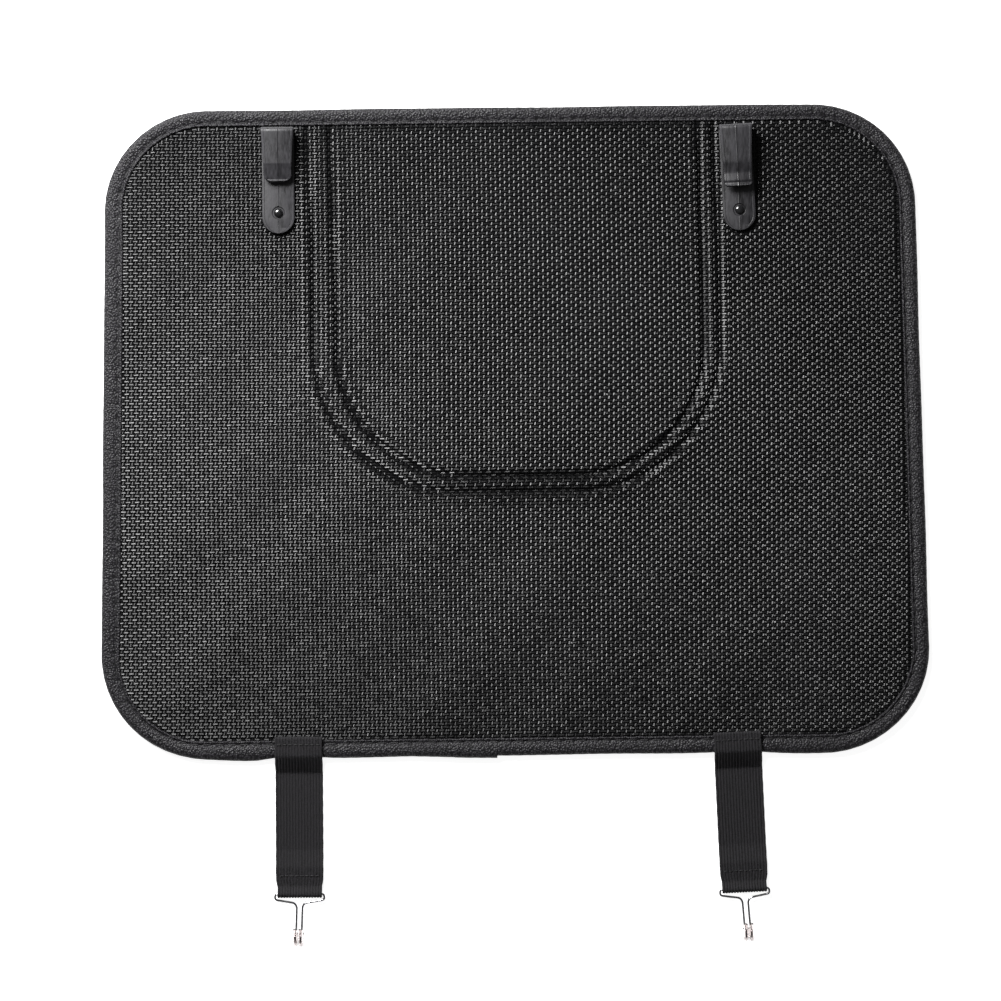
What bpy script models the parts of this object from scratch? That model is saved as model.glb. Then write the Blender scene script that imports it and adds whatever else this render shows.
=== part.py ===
"""Car seat-back kick mat, lying on its front face with its hooks up.

Metres, +Z up, +Y towards the edge with the clips. The mat is drawn about its own middle and
then moved, so that the origin is under the middle of the whole object.
"""
import math
from collections import namedtuple

import bmesh
import bpy
from mathutils import Matrix, Vector

Leaf = namedtuple("Leaf", "straight sag dip pinch lip rise corner")

MM = 0.001
DEGREE = math.radians(1.0)

# Clearance between pieces that touch
SEAT_GAP = 0.3 * MM

# Outline of the mat, measured over the binding
MAT_HEIGHT = 340.0 * MM
MAT_TOP_WIDTH = 424.0 * MM
MAT_BOTTOM_WIDTH = 437.0 * MM
CORNER_RADIUS = 54.0 * MM
CORNER_STEPS = 9

# Panel, thinner at the rim that the binding grips
RIM_THICKNESS = 2.2 * MM
RIM_REVEAL = 0.6 * MM
WEAVE_BED = 0.3 * MM
WEAVE_RIDGE = 0.5 * MM
WEAVE_PITCH = 3.36 * MM
WEAVE_CREST = 1.7 * MM

# Two pressed grooves, one U inside the other, that lean a little to the left at the top
GROOVE_WIDTH = 4.4 * MM
GROOVE_FLOOR = 1.6 * MM
GROOVE_DEPTH = 1.2 * MM
U_BOTTOM = -31.8 * MM
U_LEAN = 2.6 * MM
U_CORNER_CENTRE = 44.1 * MM
OUTER_U_HALF_WIDTH = 106.6 * MM
OUTER_U_CENTRE = 3.1 * MM
INNER_U_HALF_WIDTH = 96.6 * MM
INNER_U_CENTRE = 4.6 * MM
U_BAND = 8.7 * MM
U_CORNER_STEPS = 10
U_LEG_STEPS = 5

# Binding tape folded round the rim
TAPE = 0.8 * MM
BINDING_WIDTH = 8.8 * MM
BINDING_CROWN = 0.5 * MM
STITCH_INSET = 6.6 * MM
SLOT_DEPTH_GAP = 1.1 * MM
LAP_X = -11.0 * MM
LAP_STEP = 0.9 * MM
LAP_TAPER = 14.0 * MM

# Spring clips, one to each side of the middle
CLIP_X = 121.0 * MM
CLIP_RIVET_INSET = 54.6 * MM
CLIP_TILT_LEFT = -0.2 * DEGREE
CLIP_TILT_RIGHT = 1.8 * DEGREE
CLIP_WIDTH = 17.0 * MM
CLIP_THICKNESS = 1.6 * MM
CLIP_EDGE = 0.3 * MM
CLIP_LINE_WIDTH = 0.9 * MM
CLIP_LINE_HEIGHT = 0.2 * MM
CLIP_BELOW_RIVET = 10.8 * MM
CLIP_ABOVE_RIVET = 45.2 * MM
CLIP_MOUTH = 5.9 * MM
CLIP_BEND = 1.6 * MM
LEAF_WIDTH = 14.6 * MM

# The left leaf is set nearly shut, the right one stands open
LEFT_LEAF_STRAIGHT = 19.1 * MM
LEFT_LEAF_SAG = 1.4 * MM
LEFT_LEAF_DIP = 7.6 * MM
LEFT_LEAF_PINCH = 2.2 * MM
LEFT_LEAF_LIP = 1.7 * MM
LEFT_LEAF_RISE = 0.9 * MM
LEFT_LEAF_CORNER = 4.2 * MM
RIGHT_LEAF_STRAIGHT = 24.4 * MM
RIGHT_LEAF_SAG = 1.1 * MM
RIGHT_LEAF_DIP = 3.0 * MM
RIGHT_LEAF_PINCH = 3.4 * MM
RIGHT_LEAF_LIP = 4.8 * MM
RIGHT_LEAF_RISE = 1.7 * MM
RIGHT_LEAF_CORNER = 1.8 * MM

# Rivets, a small dome on the clip and a broad flat head on the front of the mat
RIVET_SHANK = 1.5 * MM
RIVET_DOME = 2.3 * MM
RIVET_DOME_HEIGHT = 1.5 * MM
RIVET_HEAD = 4.5 * MM
RIVET_HEAD_THICKNESS = 0.6 * MM
RIVET_RECESS = 3.25 * MM
RIVET_RECESS_DEPTH = 0.5 * MM
RIVET_STEPS = 16

# Elastic straps
STRAP_X = 115.2 * MM
STRAP_TILT_LEFT = -0.36 * DEGREE
STRAP_TILT_RIGHT = 2.1 * DEGREE
STRAP_WIDTH = 25.0 * MM
STRAP_THICKNESS = 1.2 * MM
STRAP_RIBS = 16
STRAP_RIB_DEPTH = 0.25 * MM
STRAP_OVER_MAT = 10.9 * MM
STRAP_REACH = 74.0 * MM
STRAP_DROP_ANGLE = 50.0 * DEGREE
STRAP_EDGE_SLACK = 0.9 * MM
STRAP_FLOOR_BEND = 4.0 * MM
HEM_WIDTH = 22.6 * MM
HEM_RETURN = 12.0 * MM
HEM_RAMP = 4.0 * MM

# Wire hooks, hung in the hems of the straps
WIRE = 0.6 * MM
HOOK_HALF_WIDTH = 13.0 * MM
HOOK_CORNER = 1.5 * MM
HOOK_ARM_DROP = 3.1 * MM
HOOK_NECK_DROP = 5.0 * MM
HOOK_NECK_BEND = 3.0 * MM
HOOK_LEG_SPACING = 1.5 * MM
HOOK_LENGTH = 26.0 * MM
HOOK_J_BEND = 3.6 * MM
HOOK_TIP = 5.6 * MM
HOOK_LEG_LEAN = 0.8 * MM

# Clear sleeves on the wire's tips
SLEEVE_WALL = 0.35 * MM
SLEEVE_FIT = 0.25 * MM
SLEEVE_PAST_TIP = 3.0 * MM
SLEEVE_ON_LEG = 1.8 * MM

# Places and heights that follow from the sizes above
CLIP_RIVET_Y = MAT_HEIGHT / 2 - CLIP_RIVET_INSET
PANEL_FRONT = TAPE + SEAT_GAP
RIM_TOP = PANEL_FRONT + RIM_THICKNESS
WEAVE_VALLEY = RIM_TOP + WEAVE_BED
WEAVE_TOP = WEAVE_VALLEY + WEAVE_RIDGE
SLOT_TOP = RIM_TOP + SEAT_GAP
BINDING_TOP = SLOT_TOP + TAPE + BINDING_CROWN
CLIP_UNDERSIDE = WEAVE_TOP + SEAT_GAP + CLIP_LINE_HEIGHT
CLIP_SEAT = CLIP_UNDERSIDE + CLIP_THICKNESS - RIVET_RECESS_DEPTH
HEM_LOOP = WIRE + SEAT_GAP + STRAP_THICKNESS / 2
HEM_LOOP_HEIGHT = STRAP_THICKNESS / 2 + HEM_LOOP
HEM_LOOP_Y = -STRAP_REACH + HEM_LOOP + STRAP_THICKNESS / 2
SLEEVE_BORE = WIRE + SLEEVE_FIT
SLEEVE_OUTSIDE = SLEEVE_BORE + SLEEVE_WALL
ARC_STEP = 30.0 * DEGREE


def clear_scene():
    for old in list(bpy.data.objects):
        bpy.data.objects.remove(old, do_unlink=True)


def material(name, colour, roughness, metallic=0.0, alpha=1.0):
    mat = bpy.data.materials.new(name)
    mat.use_nodes = True
    shader = mat.node_tree.nodes["Principled BSDF"]
    shader.inputs["Base Color"].default_value = (*colour, 1.0)
    shader.inputs["Roughness"].default_value = roughness
    shader.inputs["Metallic"].default_value = metallic
    shader.inputs["Alpha"].default_value = alpha
    mat.diffuse_color = (*colour, alpha)
    mat.metallic = metallic
    mat.roughness = roughness
    return mat


def new_object(name, bm, mat=None):
    bmesh.ops.recalc_face_normals(bm, faces=bm.faces)
    mesh = bpy.data.meshes.new(name)
    bm.to_mesh(mesh)
    bm.free()
    if mat:
        mesh.materials.append(mat)
    ob = bpy.data.objects.new(name, mesh)
    bpy.context.scene.collection.objects.link(ob)
    return ob


def skin(name, rings, mat=None, closed=False):
    """Join rings of points in order, and cap the ends or join the last ring to the first."""
    bm = bmesh.new()
    loops = [[bm.verts.new(point) for point in ring] for ring in rings]
    pairs = list(zip(loops, loops[1:]))
    if closed:
        pairs.append((loops[-1], loops[0]))
    for ring, following in pairs:
        count = len(ring)
        for i in range(count):
            j = (i + 1) % count
            bm.faces.new((ring[i], ring[j], following[j], following[i]))
    if not closed:
        bm.faces.new(loops[0])
        bm.faces.new(list(reversed(loops[-1])))
    return new_object(name, bm, mat)


def prism(name, outline, bottom, top, mat=None):
    """Extrude a flat outline upwards from one height to another."""
    bm = bmesh.new()
    face = bm.faces.new([bm.verts.new((x, y, bottom)) for x, y in outline])
    lifted = bmesh.ops.extrude_face_region(bm, geom=[face])["geom"]
    moved = [item for item in lifted if isinstance(item, bmesh.types.BMVert)]
    bmesh.ops.translate(bm, vec=(0, 0, top - bottom), verts=moved)
    return new_object(name, bm, mat)


def cut(target, cutter, operation="DIFFERENCE"):
    """Combine the target with a hidden helper body."""
    cutter.hide_render = True
    cutter.display_type = "WIRE"
    modifier = target.modifiers.new(cutter.name, "BOOLEAN")
    modifier.operation = operation
    modifier.object = cutter
    modifier.solver = "EXACT"


def corner_arc(before, corner, after, radius, steps=None):
    """Points of the arc that rounds a corner between two straight runs."""
    back = (before - corner).normalized()
    ahead = (after - corner).normalized()
    turn = math.pi - back.angle(ahead)
    if radius <= 0.0 or turn < 0.5 * DEGREE:
        return [corner.copy()]
    centre = corner + (back + ahead).normalized() * radius / math.cos(turn / 2)
    start = corner + back * radius * math.tan(turn / 2) - centre
    count = steps or max(1, math.ceil(turn / ARC_STEP))
    angles = [turn * i / count for i in range(count + 1)]
    return [centre + start * math.cos(a) - back * radius * math.sin(a) for a in angles]


def rounded_path(corners, radii):
    """A path through the corners, each inner one rounded to its own radius."""
    points = [corners[0]]
    for i, radius in enumerate(radii, start=1):
        for point in corner_arc(corners[i - 1], corners[i], corners[i + 1], radius):
            if (point - points[-1]).length > 0.01 * MM:
                points.append(point)
    points.append(corners[-1])
    return points


def circle(radius, steps, centre=(0.0, 0.0)):
    angles = [2 * math.pi * i / steps for i in range(steps)]
    return [(centre[0] + radius * math.cos(a), centre[1] + radius * math.sin(a)) for a in angles]


def mat_corners(inset):
    """The four corners of the trapezoid, drawn in by the inset, from bottom left."""
    slope = (MAT_BOTTOM_WIDTH - MAT_TOP_WIDTH) / 2 / MAT_HEIGHT
    side_inset = inset * math.hypot(1.0, slope)
    edge = MAT_HEIGHT / 2 - inset
    bottom = MAT_BOTTOM_WIDTH / 2 - inset * slope - side_inset
    top = MAT_TOP_WIDTH / 2 + inset * slope - side_inset
    return [Vector((-bottom, -edge)), Vector((bottom, -edge)),
            Vector((top, edge)), Vector((-top, edge))]


def mat_outline(inset, bottom_stations=()):
    """The rounded trapezoid, with extra points along its bottom edge where asked."""
    corners = mat_corners(inset)
    outline = []
    for i, corner in enumerate(corners):
        before = corners[i - 1]
        after = corners[(i + 1) % len(corners)]
        outline += corner_arc(before, corner, after, CORNER_RADIUS - inset, CORNER_STEPS)
        if i == 0:
            outline += [Vector((x, corner.y)) for x in bottom_stations]
    return outline


def weave_field(inset):
    """A slab with one ridge for each repeat of the weave, trimmed to the bound opening."""
    count = math.ceil(MAT_HEIGHT / WEAVE_PITCH)
    start = -count * WEAVE_PITCH / 2
    flank = (WEAVE_PITCH - WEAVE_CREST) / 2
    ridges = []
    for i in range(count):
        valley = start + i * WEAVE_PITCH
        ridges.append((valley, WEAVE_VALLEY))
        ridges.append((valley + flank, WEAVE_TOP))
        ridges.append((valley + flank + WEAVE_CREST, WEAVE_TOP))
    bed = PANEL_FRONT + RIM_THICKNESS / 2
    profile = [(start, bed)] + ridges + [(-start, WEAVE_VALLEY), (-start, bed)]
    side = MAT_BOTTOM_WIDTH / 2
    slab = skin("weave_field", [[Vector((x, y, z)) for y, z in profile] for x in (-side, side)])
    trim = prism("weave_trim", mat_outline(inset), bed - RIM_THICKNESS, WEAVE_TOP + RIM_THICKNESS)
    cut(slab, trim, "INTERSECT")
    return slab


def groove_path(centre, half_width, bottom):
    """One leg down, round the bottom and up the other leg, leaning towards the top."""
    top = MAT_HEIGHT / 2
    radius = U_CORNER_CENTRE - bottom
    leg = [top + (U_CORNER_CENTRE - top) * i / U_LEG_STEPS for i in range(U_LEG_STEPS)]
    left = centre - half_width
    right = centre + half_width
    corners = [Vector((left, top)), Vector((left, bottom)),
               Vector((right, bottom)), Vector((right, top))]
    path = [Vector((left, y)) for y in leg]
    path += corner_arc(corners[0], corners[1], corners[2], radius, U_CORNER_STEPS)
    path += corner_arc(corners[1], corners[2], corners[3], radius, U_CORNER_STEPS)
    path += [Vector((right, y)) for y in reversed(leg)]
    for point in path:
        share = max(0.0, (point.y - U_CORNER_CENTRE) / (top - U_CORNER_CENTRE))
        point.x -= U_LEAN * share ** 2
    return path


def groove_cutter(name, centre, half_width, bottom):
    """Sweep the groove's tapered section along its path, from above the ridges down."""
    path = groove_path(centre, half_width, bottom)
    floor = WEAVE_TOP - GROOVE_DEPTH
    half_floor = GROOVE_FLOOR / 2
    flare = (GROOVE_WIDTH - GROOVE_FLOOR) / 2
    head = 2 * GROOVE_DEPTH
    half_head = half_floor + flare * head / GROOVE_DEPTH
    section = [(-half_floor, floor), (half_floor, floor),
               (half_head, floor + head), (-half_head, floor + head)]
    rings = []
    for i, point in enumerate(path):
        along = (path[min(i + 1, len(path) - 1)] - path[max(i - 1, 0)]).normalized()
        across = Vector((-along.y, along.x))
        rings.append([Vector((*(point + across * s), z)) for s, z in section])
    return skin(name, rings)


def mat_panel(mat):
    """One laminated sheet: a smooth rim, a ridged field and two pressed grooves."""
    panel = prism("mat_panel", mat_outline(SLOT_DEPTH_GAP + SEAT_GAP), PANEL_FRONT, RIM_TOP, mat)
    cut(panel, weave_field(BINDING_WIDTH + RIM_REVEAL), "UNION")
    cut(panel, groove_cutter("groove_outer", OUTER_U_CENTRE, OUTER_U_HALF_WIDTH, U_BOTTOM))
    cut(panel, groove_cutter("groove_inner", INNER_U_CENTRE, INNER_U_HALF_WIDTH,
                             U_BOTTOM + U_BAND))
    for side, x in (("left", -CLIP_X), ("right", CLIP_X)):
        outline = circle(RIVET_SHANK + SEAT_GAP, RIVET_STEPS, (x, CLIP_RIVET_Y))
        cut(panel, prism(f"panel_hole_{side}", outline, -TAPE, WEAVE_TOP + TAPE))
    return panel


def binding_section():
    """The folded tape: inset from the edge, height, and share of the lap's swelling."""
    crown = BINDING_TOP
    dip = SLOT_TOP + TAPE
    lip = BINDING_WIDTH
    edge = crown / 2
    return [
        (lip, TAPE * 0.25, 0.0), (lip - TAPE / 2, 0.0, 0.0), (edge, 0.0, 0.3),
        (edge * 0.4, edge * 0.15, 0.6), (edge * 0.1, edge * 0.5, 1.0), (0.0, edge, 1.0),
        (edge * 0.1, edge * 1.5, 1.0), (edge * 0.4, edge * 1.85, 0.8), (edge, crown, 0.5),
        (edge * 1.8, crown - BINDING_CROWN * 0.3, 0.2), (STITCH_INSET, dip, 0.0),
        (STITCH_INSET + TAPE, dip + BINDING_CROWN * 0.4, 0.0), (lip - TAPE * 0.3, dip, 0.0),
        (lip, dip - TAPE * 0.4, 0.0), (lip, SLOT_TOP, 0.0), (SLOT_DEPTH_GAP, SLOT_TOP, 0.0),
        (SLOT_DEPTH_GAP, TAPE, 0.0), (lip, TAPE, 0.0),
    ]


def edge_binding(mat):
    """The tape's section carried round the outline, one end lapped over the other."""
    step = LAP_STEP / 2
    stations = (LAP_X - LAP_TAPER, LAP_X - LAP_TAPER / 2, LAP_X, LAP_X + step)
    rings = []
    for inset, height, share in binding_section():
        ring = []
        for point in mat_outline(inset, stations):
            on_lap = LAP_X - LAP_TAPER <= point.x <= LAP_X and point.y < 0
            swell = (point.x - LAP_X + LAP_TAPER) / LAP_TAPER if on_lap else 0.0
            ring.append(Vector((point.x, point.y - LAP_STEP * share * swell, height)))
        rings.append(ring)
    return skin("edge_binding", rings, mat, closed=True)


def stations_along(path, extra):
    """Points and directions along a flat path, with more of them at given distances."""
    lengths = [0.0]
    for before, after in zip(path, path[1:]):
        lengths.append(lengths[-1] + (after - before).length)
    wanted = sorted(set(lengths) | {d for d in extra if 0.0 <= d <= lengths[-1]})
    kept = [d for i, d in enumerate(wanted) if i == 0 or d - wanted[i - 1] > 0.02 * MM]
    found = []
    for distance in kept:
        i = max(k for k in range(len(path) - 1) if lengths[k] <= distance + 1e-9)
        share = (distance - lengths[i]) / (lengths[i + 1] - lengths[i])
        point = path[i].lerp(path[i + 1], share)
        along = (path[i + 1] - path[i]).normalized()
        if share < 1e-6 and i > 0:
            along = (along + (path[i] - path[i - 1]).normalized()).normalized()
        found.append((distance, point, along))
    return found


def ribbon(name, mat, path, extra, section):
    """Loft a flat strip along a path in the YZ plane; section gives (x, height) points."""
    rings = []
    for distance, point, along in stations_along(path, extra):
        up = Vector((-along.y, along.x))
        rings.append([Vector((x, point.x + up.x * h, point.y + up.y * h))
                      for x, h in section(distance)])
    return skin(name, rings, mat)


def clip_path(leaf):
    """Side view of the clip's middle line as (y, z), from its riveted end to its lip."""
    half = CLIP_THICKNESS / 2
    top = CLIP_ABOVE_RIVET - half
    height = CLIP_THICKNESS + CLIP_MOUTH + half
    crease = CLIP_ABOVE_RIVET - leaf.straight
    pinch = crease - leaf.dip
    pinch_height = CLIP_THICKNESS + leaf.pinch + half
    corners = [Vector((-CLIP_BELOW_RIVET, half)), Vector((top, half)), Vector((top, height)),
               Vector((crease, height - leaf.sag)), Vector((pinch, pinch_height)),
               Vector((pinch - leaf.lip, pinch_height + leaf.rise))]
    return rounded_path(corners, (CLIP_BEND, CLIP_BEND, CLIP_BEND, CLIP_BEND))


def clip_half_width(distance, length, leaf):
    """Round riveted end, straight strip, tapering leaf and a leaf end with round corners."""
    radius = CLIP_WIDTH / 2
    if distance < radius:
        return math.sqrt(max(0.0, radius ** 2 - (radius - distance) ** 2))
    leaf_start = CLIP_BELOW_RIVET + CLIP_ABOVE_RIVET + CLIP_MOUTH
    share = min(1.0, max(0.0, (distance - leaf_start) / leaf.straight))
    half = radius + (LEAF_WIDTH / 2 - radius) * share
    left = leaf.corner - (length - distance)
    if left > 0.0:
        half -= leaf.corner - math.sqrt(max(0.0, leaf.corner ** 2 - left ** 2))
    return half


def clip_section(half_width):
    """Strip section with eased edges and a fine raised line down each face."""
    half = CLIP_THICKNESS / 2
    edge = min(CLIP_EDGE, half_width / 2)
    line = min(CLIP_LINE_WIDTH / 2, half_width / 4)
    face = [(half_width - edge, half), (line, half), (0.0, half + CLIP_LINE_HEIGHT),
            (-line, half), (edge - half_width, half), (-half_width, half - edge)]
    return [(half_width, half - edge)] + face + [(-x, -h) for x, h in
                                                 [(half_width, half - edge)] + face]


def spring_clip(side, x, tilt, leaf, mat):
    """A moulded strip doubled back on itself into a springy leaf with a turned-up lip."""
    path = clip_path(leaf)
    length = sum((b - a).length for a, b in zip(path, path[1:]))
    radius = CLIP_WIDTH / 2
    first = radius * (1 - math.cos(12 * DEGREE))
    round_end = [radius * (1 - math.cos(a * DEGREE)) for a in (12, 25, 40, 55, 70, 90)]
    leaf_end = [length - leaf.corner * (1 - math.sin(a * DEGREE)) for a in (0, 35, 60, 80)]

    def section(distance):
        inside = min(max(distance, first), leaf_end[-1])
        return clip_section(clip_half_width(inside, length, leaf))

    clip = ribbon(f"{side}_clip", mat, path, round_end + leaf_end, section)
    hole = circle(RIVET_SHANK + SEAT_GAP, RIVET_STEPS)
    recess = circle(RIVET_RECESS, RIVET_STEPS)
    seat = CLIP_THICKNESS - RIVET_RECESS_DEPTH
    cutters = [prism(f"{side}_clip_hole", hole, -CLIP_THICKNESS, 1.5 * CLIP_THICKNESS),
               prism(f"{side}_clip_recess", recess, seat, seat + CLIP_MOUTH / 2)]
    for ob in [clip] + cutters:
        ob.location = (x, CLIP_RIVET_Y, CLIP_UNDERSIDE)
        ob.rotation_euler.z = tilt
    for cutter in cutters:
        cut(clip, cutter)
    return clip


def rivet(side, x, mat):
    """Turned section spun round the rivet's own axis."""
    base = PANEL_FRONT - SEAT_GAP - RIVET_HEAD_THICKNESS
    seat = CLIP_SEAT + SEAT_GAP
    dome = [(RIVET_DOME * math.cos(a * DEGREE), seat + RIVET_DOME_HEIGHT * math.sin(a * DEGREE))
            for a in (0, 22, 45, 68, 90)]
    profile = [(0.0, base), (RIVET_HEAD - SEAT_GAP, base), (RIVET_HEAD, base + SEAT_GAP),
               (RIVET_HEAD, base + RIVET_HEAD_THICKNESS), (RIVET_SHANK, PANEL_FRONT - SEAT_GAP),
               (RIVET_SHANK, seat)] + dome
    bm = bmesh.new()
    verts = [bm.verts.new((r if i < len(profile) - 1 else 0.0, 0.0, z))
             for i, (r, z) in enumerate(profile)]
    edges = [bm.edges.new(pair) for pair in zip(verts, verts[1:])]
    bmesh.ops.spin(bm, geom=verts + edges, cent=(0, 0, 0), axis=(0, 0, 1),
                   angle=2 * math.pi, steps=RIVET_STEPS, use_merge=True)
    bmesh.ops.remove_doubles(bm, verts=bm.verts, dist=0.001 * MM)
    ob = new_object(f"{side}_rivet", bm, mat)
    ob.location = (x, CLIP_RIVET_Y, 0.0)
    return ob


def strap_path():
    """Side view of the strap's middle line as (y, z), y = 0 at the mat's bottom edge.

    It starts at the folded end under the hem, so that the ribs face outwards all along.
    """
    half = STRAP_THICKNESS / 2
    above = BINDING_TOP + SEAT_GAP + half
    crown = BINDING_TOP / 2
    bend = crown + SEAT_GAP + half
    turn = STRAP_DROP_ANGLE / 2
    shoulder = crown - STRAP_EDGE_SLACK - bend * math.tan(turn)
    foot = shoulder - (above - half) / math.tan(STRAP_DROP_ANGLE)
    fold_end = HEM_LOOP_Y + HEM_RETURN
    doubled = half + STRAP_THICKNESS + SEAT_GAP
    loop_edge = HEM_LOOP_Y - HEM_LOOP
    loop_top = HEM_LOOP_HEIGHT + HEM_LOOP
    corners = [Vector((fold_end, half)), Vector((loop_edge, half)), Vector((loop_edge, loop_top)),
               Vector((HEM_LOOP_Y, loop_top)), Vector((HEM_LOOP_Y + HEM_RAMP, doubled)),
               Vector((fold_end + HEM_RAMP, doubled)), Vector((fold_end + 2 * HEM_RAMP, half)),
               Vector((foot, half)), Vector((shoulder, above)), Vector((STRAP_OVER_MAT, above))]
    radii = (HEM_LOOP, HEM_LOOP, 0.0, HEM_RAMP, HEM_RAMP, HEM_RAMP, STRAP_FLOOR_BEND, bend)
    return rounded_path(corners, radii)


def strap_section(width):
    """Ribbed on its face, plain on its back."""
    half = STRAP_THICKNESS / 2
    pitch = width / STRAP_RIBS
    section = []
    for i in range(STRAP_RIBS):
        left = -width / 2 + i * pitch
        section.append((left, half - STRAP_RIB_DEPTH))
        section.append((left + pitch / 2, half))
    section += [(width / 2, half - STRAP_RIB_DEPTH), (width / 2, -half), (-width / 2, -half)]
    return section


def elastic_strap(side, frame, mat):
    """Webbing that lies on the binding, drops to the floor and is hemmed round the wire."""
    loop_start = HEM_RETURN
    loop_end = loop_start + math.pi * HEM_LOOP
    full_again = loop_end + 2 * HEM_RAMP

    def section(distance):
        folded = min(1.0, distance / (loop_start / 2))
        pinched = min(1.0, max(0.0, (full_again - distance) / HEM_RAMP))
        return strap_section(STRAP_WIDTH + (HEM_WIDTH - STRAP_WIDTH) * min(folded, pinched))

    extra = (loop_start / 2, full_again - HEM_RAMP, full_again)
    strap = ribbon(f"{side}_strap", mat, strap_path(), extra, section)
    strap.matrix_world = frame
    return strap


def wire_corners(sign, lean):
    """Half of the bent wire, from the tip of its J to the middle of its bar."""
    leg = sign * HOOK_LEG_SPACING
    foot = leg + lean
    side = sign * HOOK_HALF_WIDTH
    opening = 2 * HOOK_J_BEND
    corners = [Vector((foot, HOOK_TIP - HOOK_LENGTH, opening)),
               Vector((foot, -HOOK_LENGTH, opening)), Vector((foot, -HOOK_LENGTH, 0.0)),
               Vector((leg, -HOOK_NECK_DROP, 0.0)), Vector((side, -HOOK_ARM_DROP, 0.0)),
               Vector((side, 0.0, 0.0)), Vector((0.0, 0.0, 0.0))]
    radii = [HOOK_J_BEND, HOOK_J_BEND, HOOK_NECK_BEND, HOOK_CORNER, HOOK_CORNER]
    return corners, radii


def tube_curve(name, points, radius, mat):
    """Round wire along a path, as a bevelled curve with its ends filled."""
    curve = bpy.data.curves.new(name, "CURVE")
    curve.dimensions = "3D"
    curve.bevel_depth = radius
    curve.bevel_resolution = 2
    curve.use_fill_caps = True
    spline = curve.splines.new("POLY")
    spline.points.add(len(points) - 1)
    for point, target in zip(spline.points, points):
        point.co = (*target, 1.0)
    curve.materials.append(mat)
    ob = bpy.data.objects.new(name, curve)
    bpy.context.scene.collection.objects.link(ob)
    return ob


def wire_hook(side, frame, lean, mat):
    """One wire: J, leg, arm, corner, bar through the hem, and the same again."""
    left, radii = wire_corners(-1, lean)
    right, _ = wire_corners(1, lean)
    corners = left[:-1] + list(reversed(right[:-1]))
    hook = tube_curve(f"{side}_wire_hook", rounded_path(corners, radii + radii[::-1]), WIRE, mat)
    hook.matrix_world = frame
    return hook


def sleeve_path(sign, lean):
    """The J's own line, carried on past the tip of the wire."""
    corners, radii = wire_corners(sign, lean)
    start = corners[0] + Vector((0.0, SLEEVE_PAST_TIP, 0.0))
    leg = (corners[3] - corners[2]).normalized()
    end = corners[2] + leg * (HOOK_J_BEND + SLEEVE_ON_LEG)
    return rounded_path([start, corners[1], corners[2], end], radii[:2])


def tip_sleeve(name, frame, path, mat):
    """A clear tube over the bend: outer wall one way, bore the other, ends open."""
    outer = []
    bore = []
    for i, point in enumerate(path):
        along = (path[min(i + 1, len(path) - 1)] - path[max(i - 1, 0)]).normalized()
        side = along.cross(Vector((1.0, 0.0, 0.0))).normalized()
        across = side.cross(along).normalized()
        for rings, radius in ((outer, SLEEVE_OUTSIDE), (bore, SLEEVE_BORE)):
            rings.append([point + side * a + across * b for a, b in circle(radius, 8)])
    sleeve = skin(name, outer + bore[::-1], mat, closed=True)
    sleeve.matrix_world = frame
    return sleeve


def strap_frame(x, tilt):
    """Where the strap crosses the bottom edge of the mat."""
    return Matrix.Translation((x, -MAT_HEIGHT / 2, 0.0)) @ Matrix.Rotation(tilt, 4, "Z")


def hook_frame(strap):
    """The wire's bar in the hem, with the hook leaning until its sleeves meet the floor."""
    lean = math.asin((HEM_LOOP_HEIGHT - SLEEVE_OUTSIDE) / (HOOK_LENGTH - HOOK_J_BEND))
    bar = Matrix.Translation((0.0, HEM_LOOP_Y, HEM_LOOP_HEIGHT))
    return strap @ bar @ Matrix.Rotation(lean, 4, "X")


def centre_on_origin():
    """Move all the pieces and their cutters, so that the pieces lie evenly about Y = 0.

    The curved wires are left out of the measuring: they end inside their sleeves.
    """
    bpy.context.view_layer.update()
    drawn = bpy.context.evaluated_depsgraph_get()
    solids = [ob.evaluated_get(drawn) for ob in bpy.data.objects
              if ob.type == "MESH" and not ob.hide_render]
    span = [(ob.matrix_world @ v.co).y for ob in solids for v in ob.data.vertices]
    shift = Matrix.Translation((0.0, -(min(span) + max(span)) / 2, 0.0))
    for ob in bpy.data.objects:
        ob.matrix_world = shift @ ob.matrix_world


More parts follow.
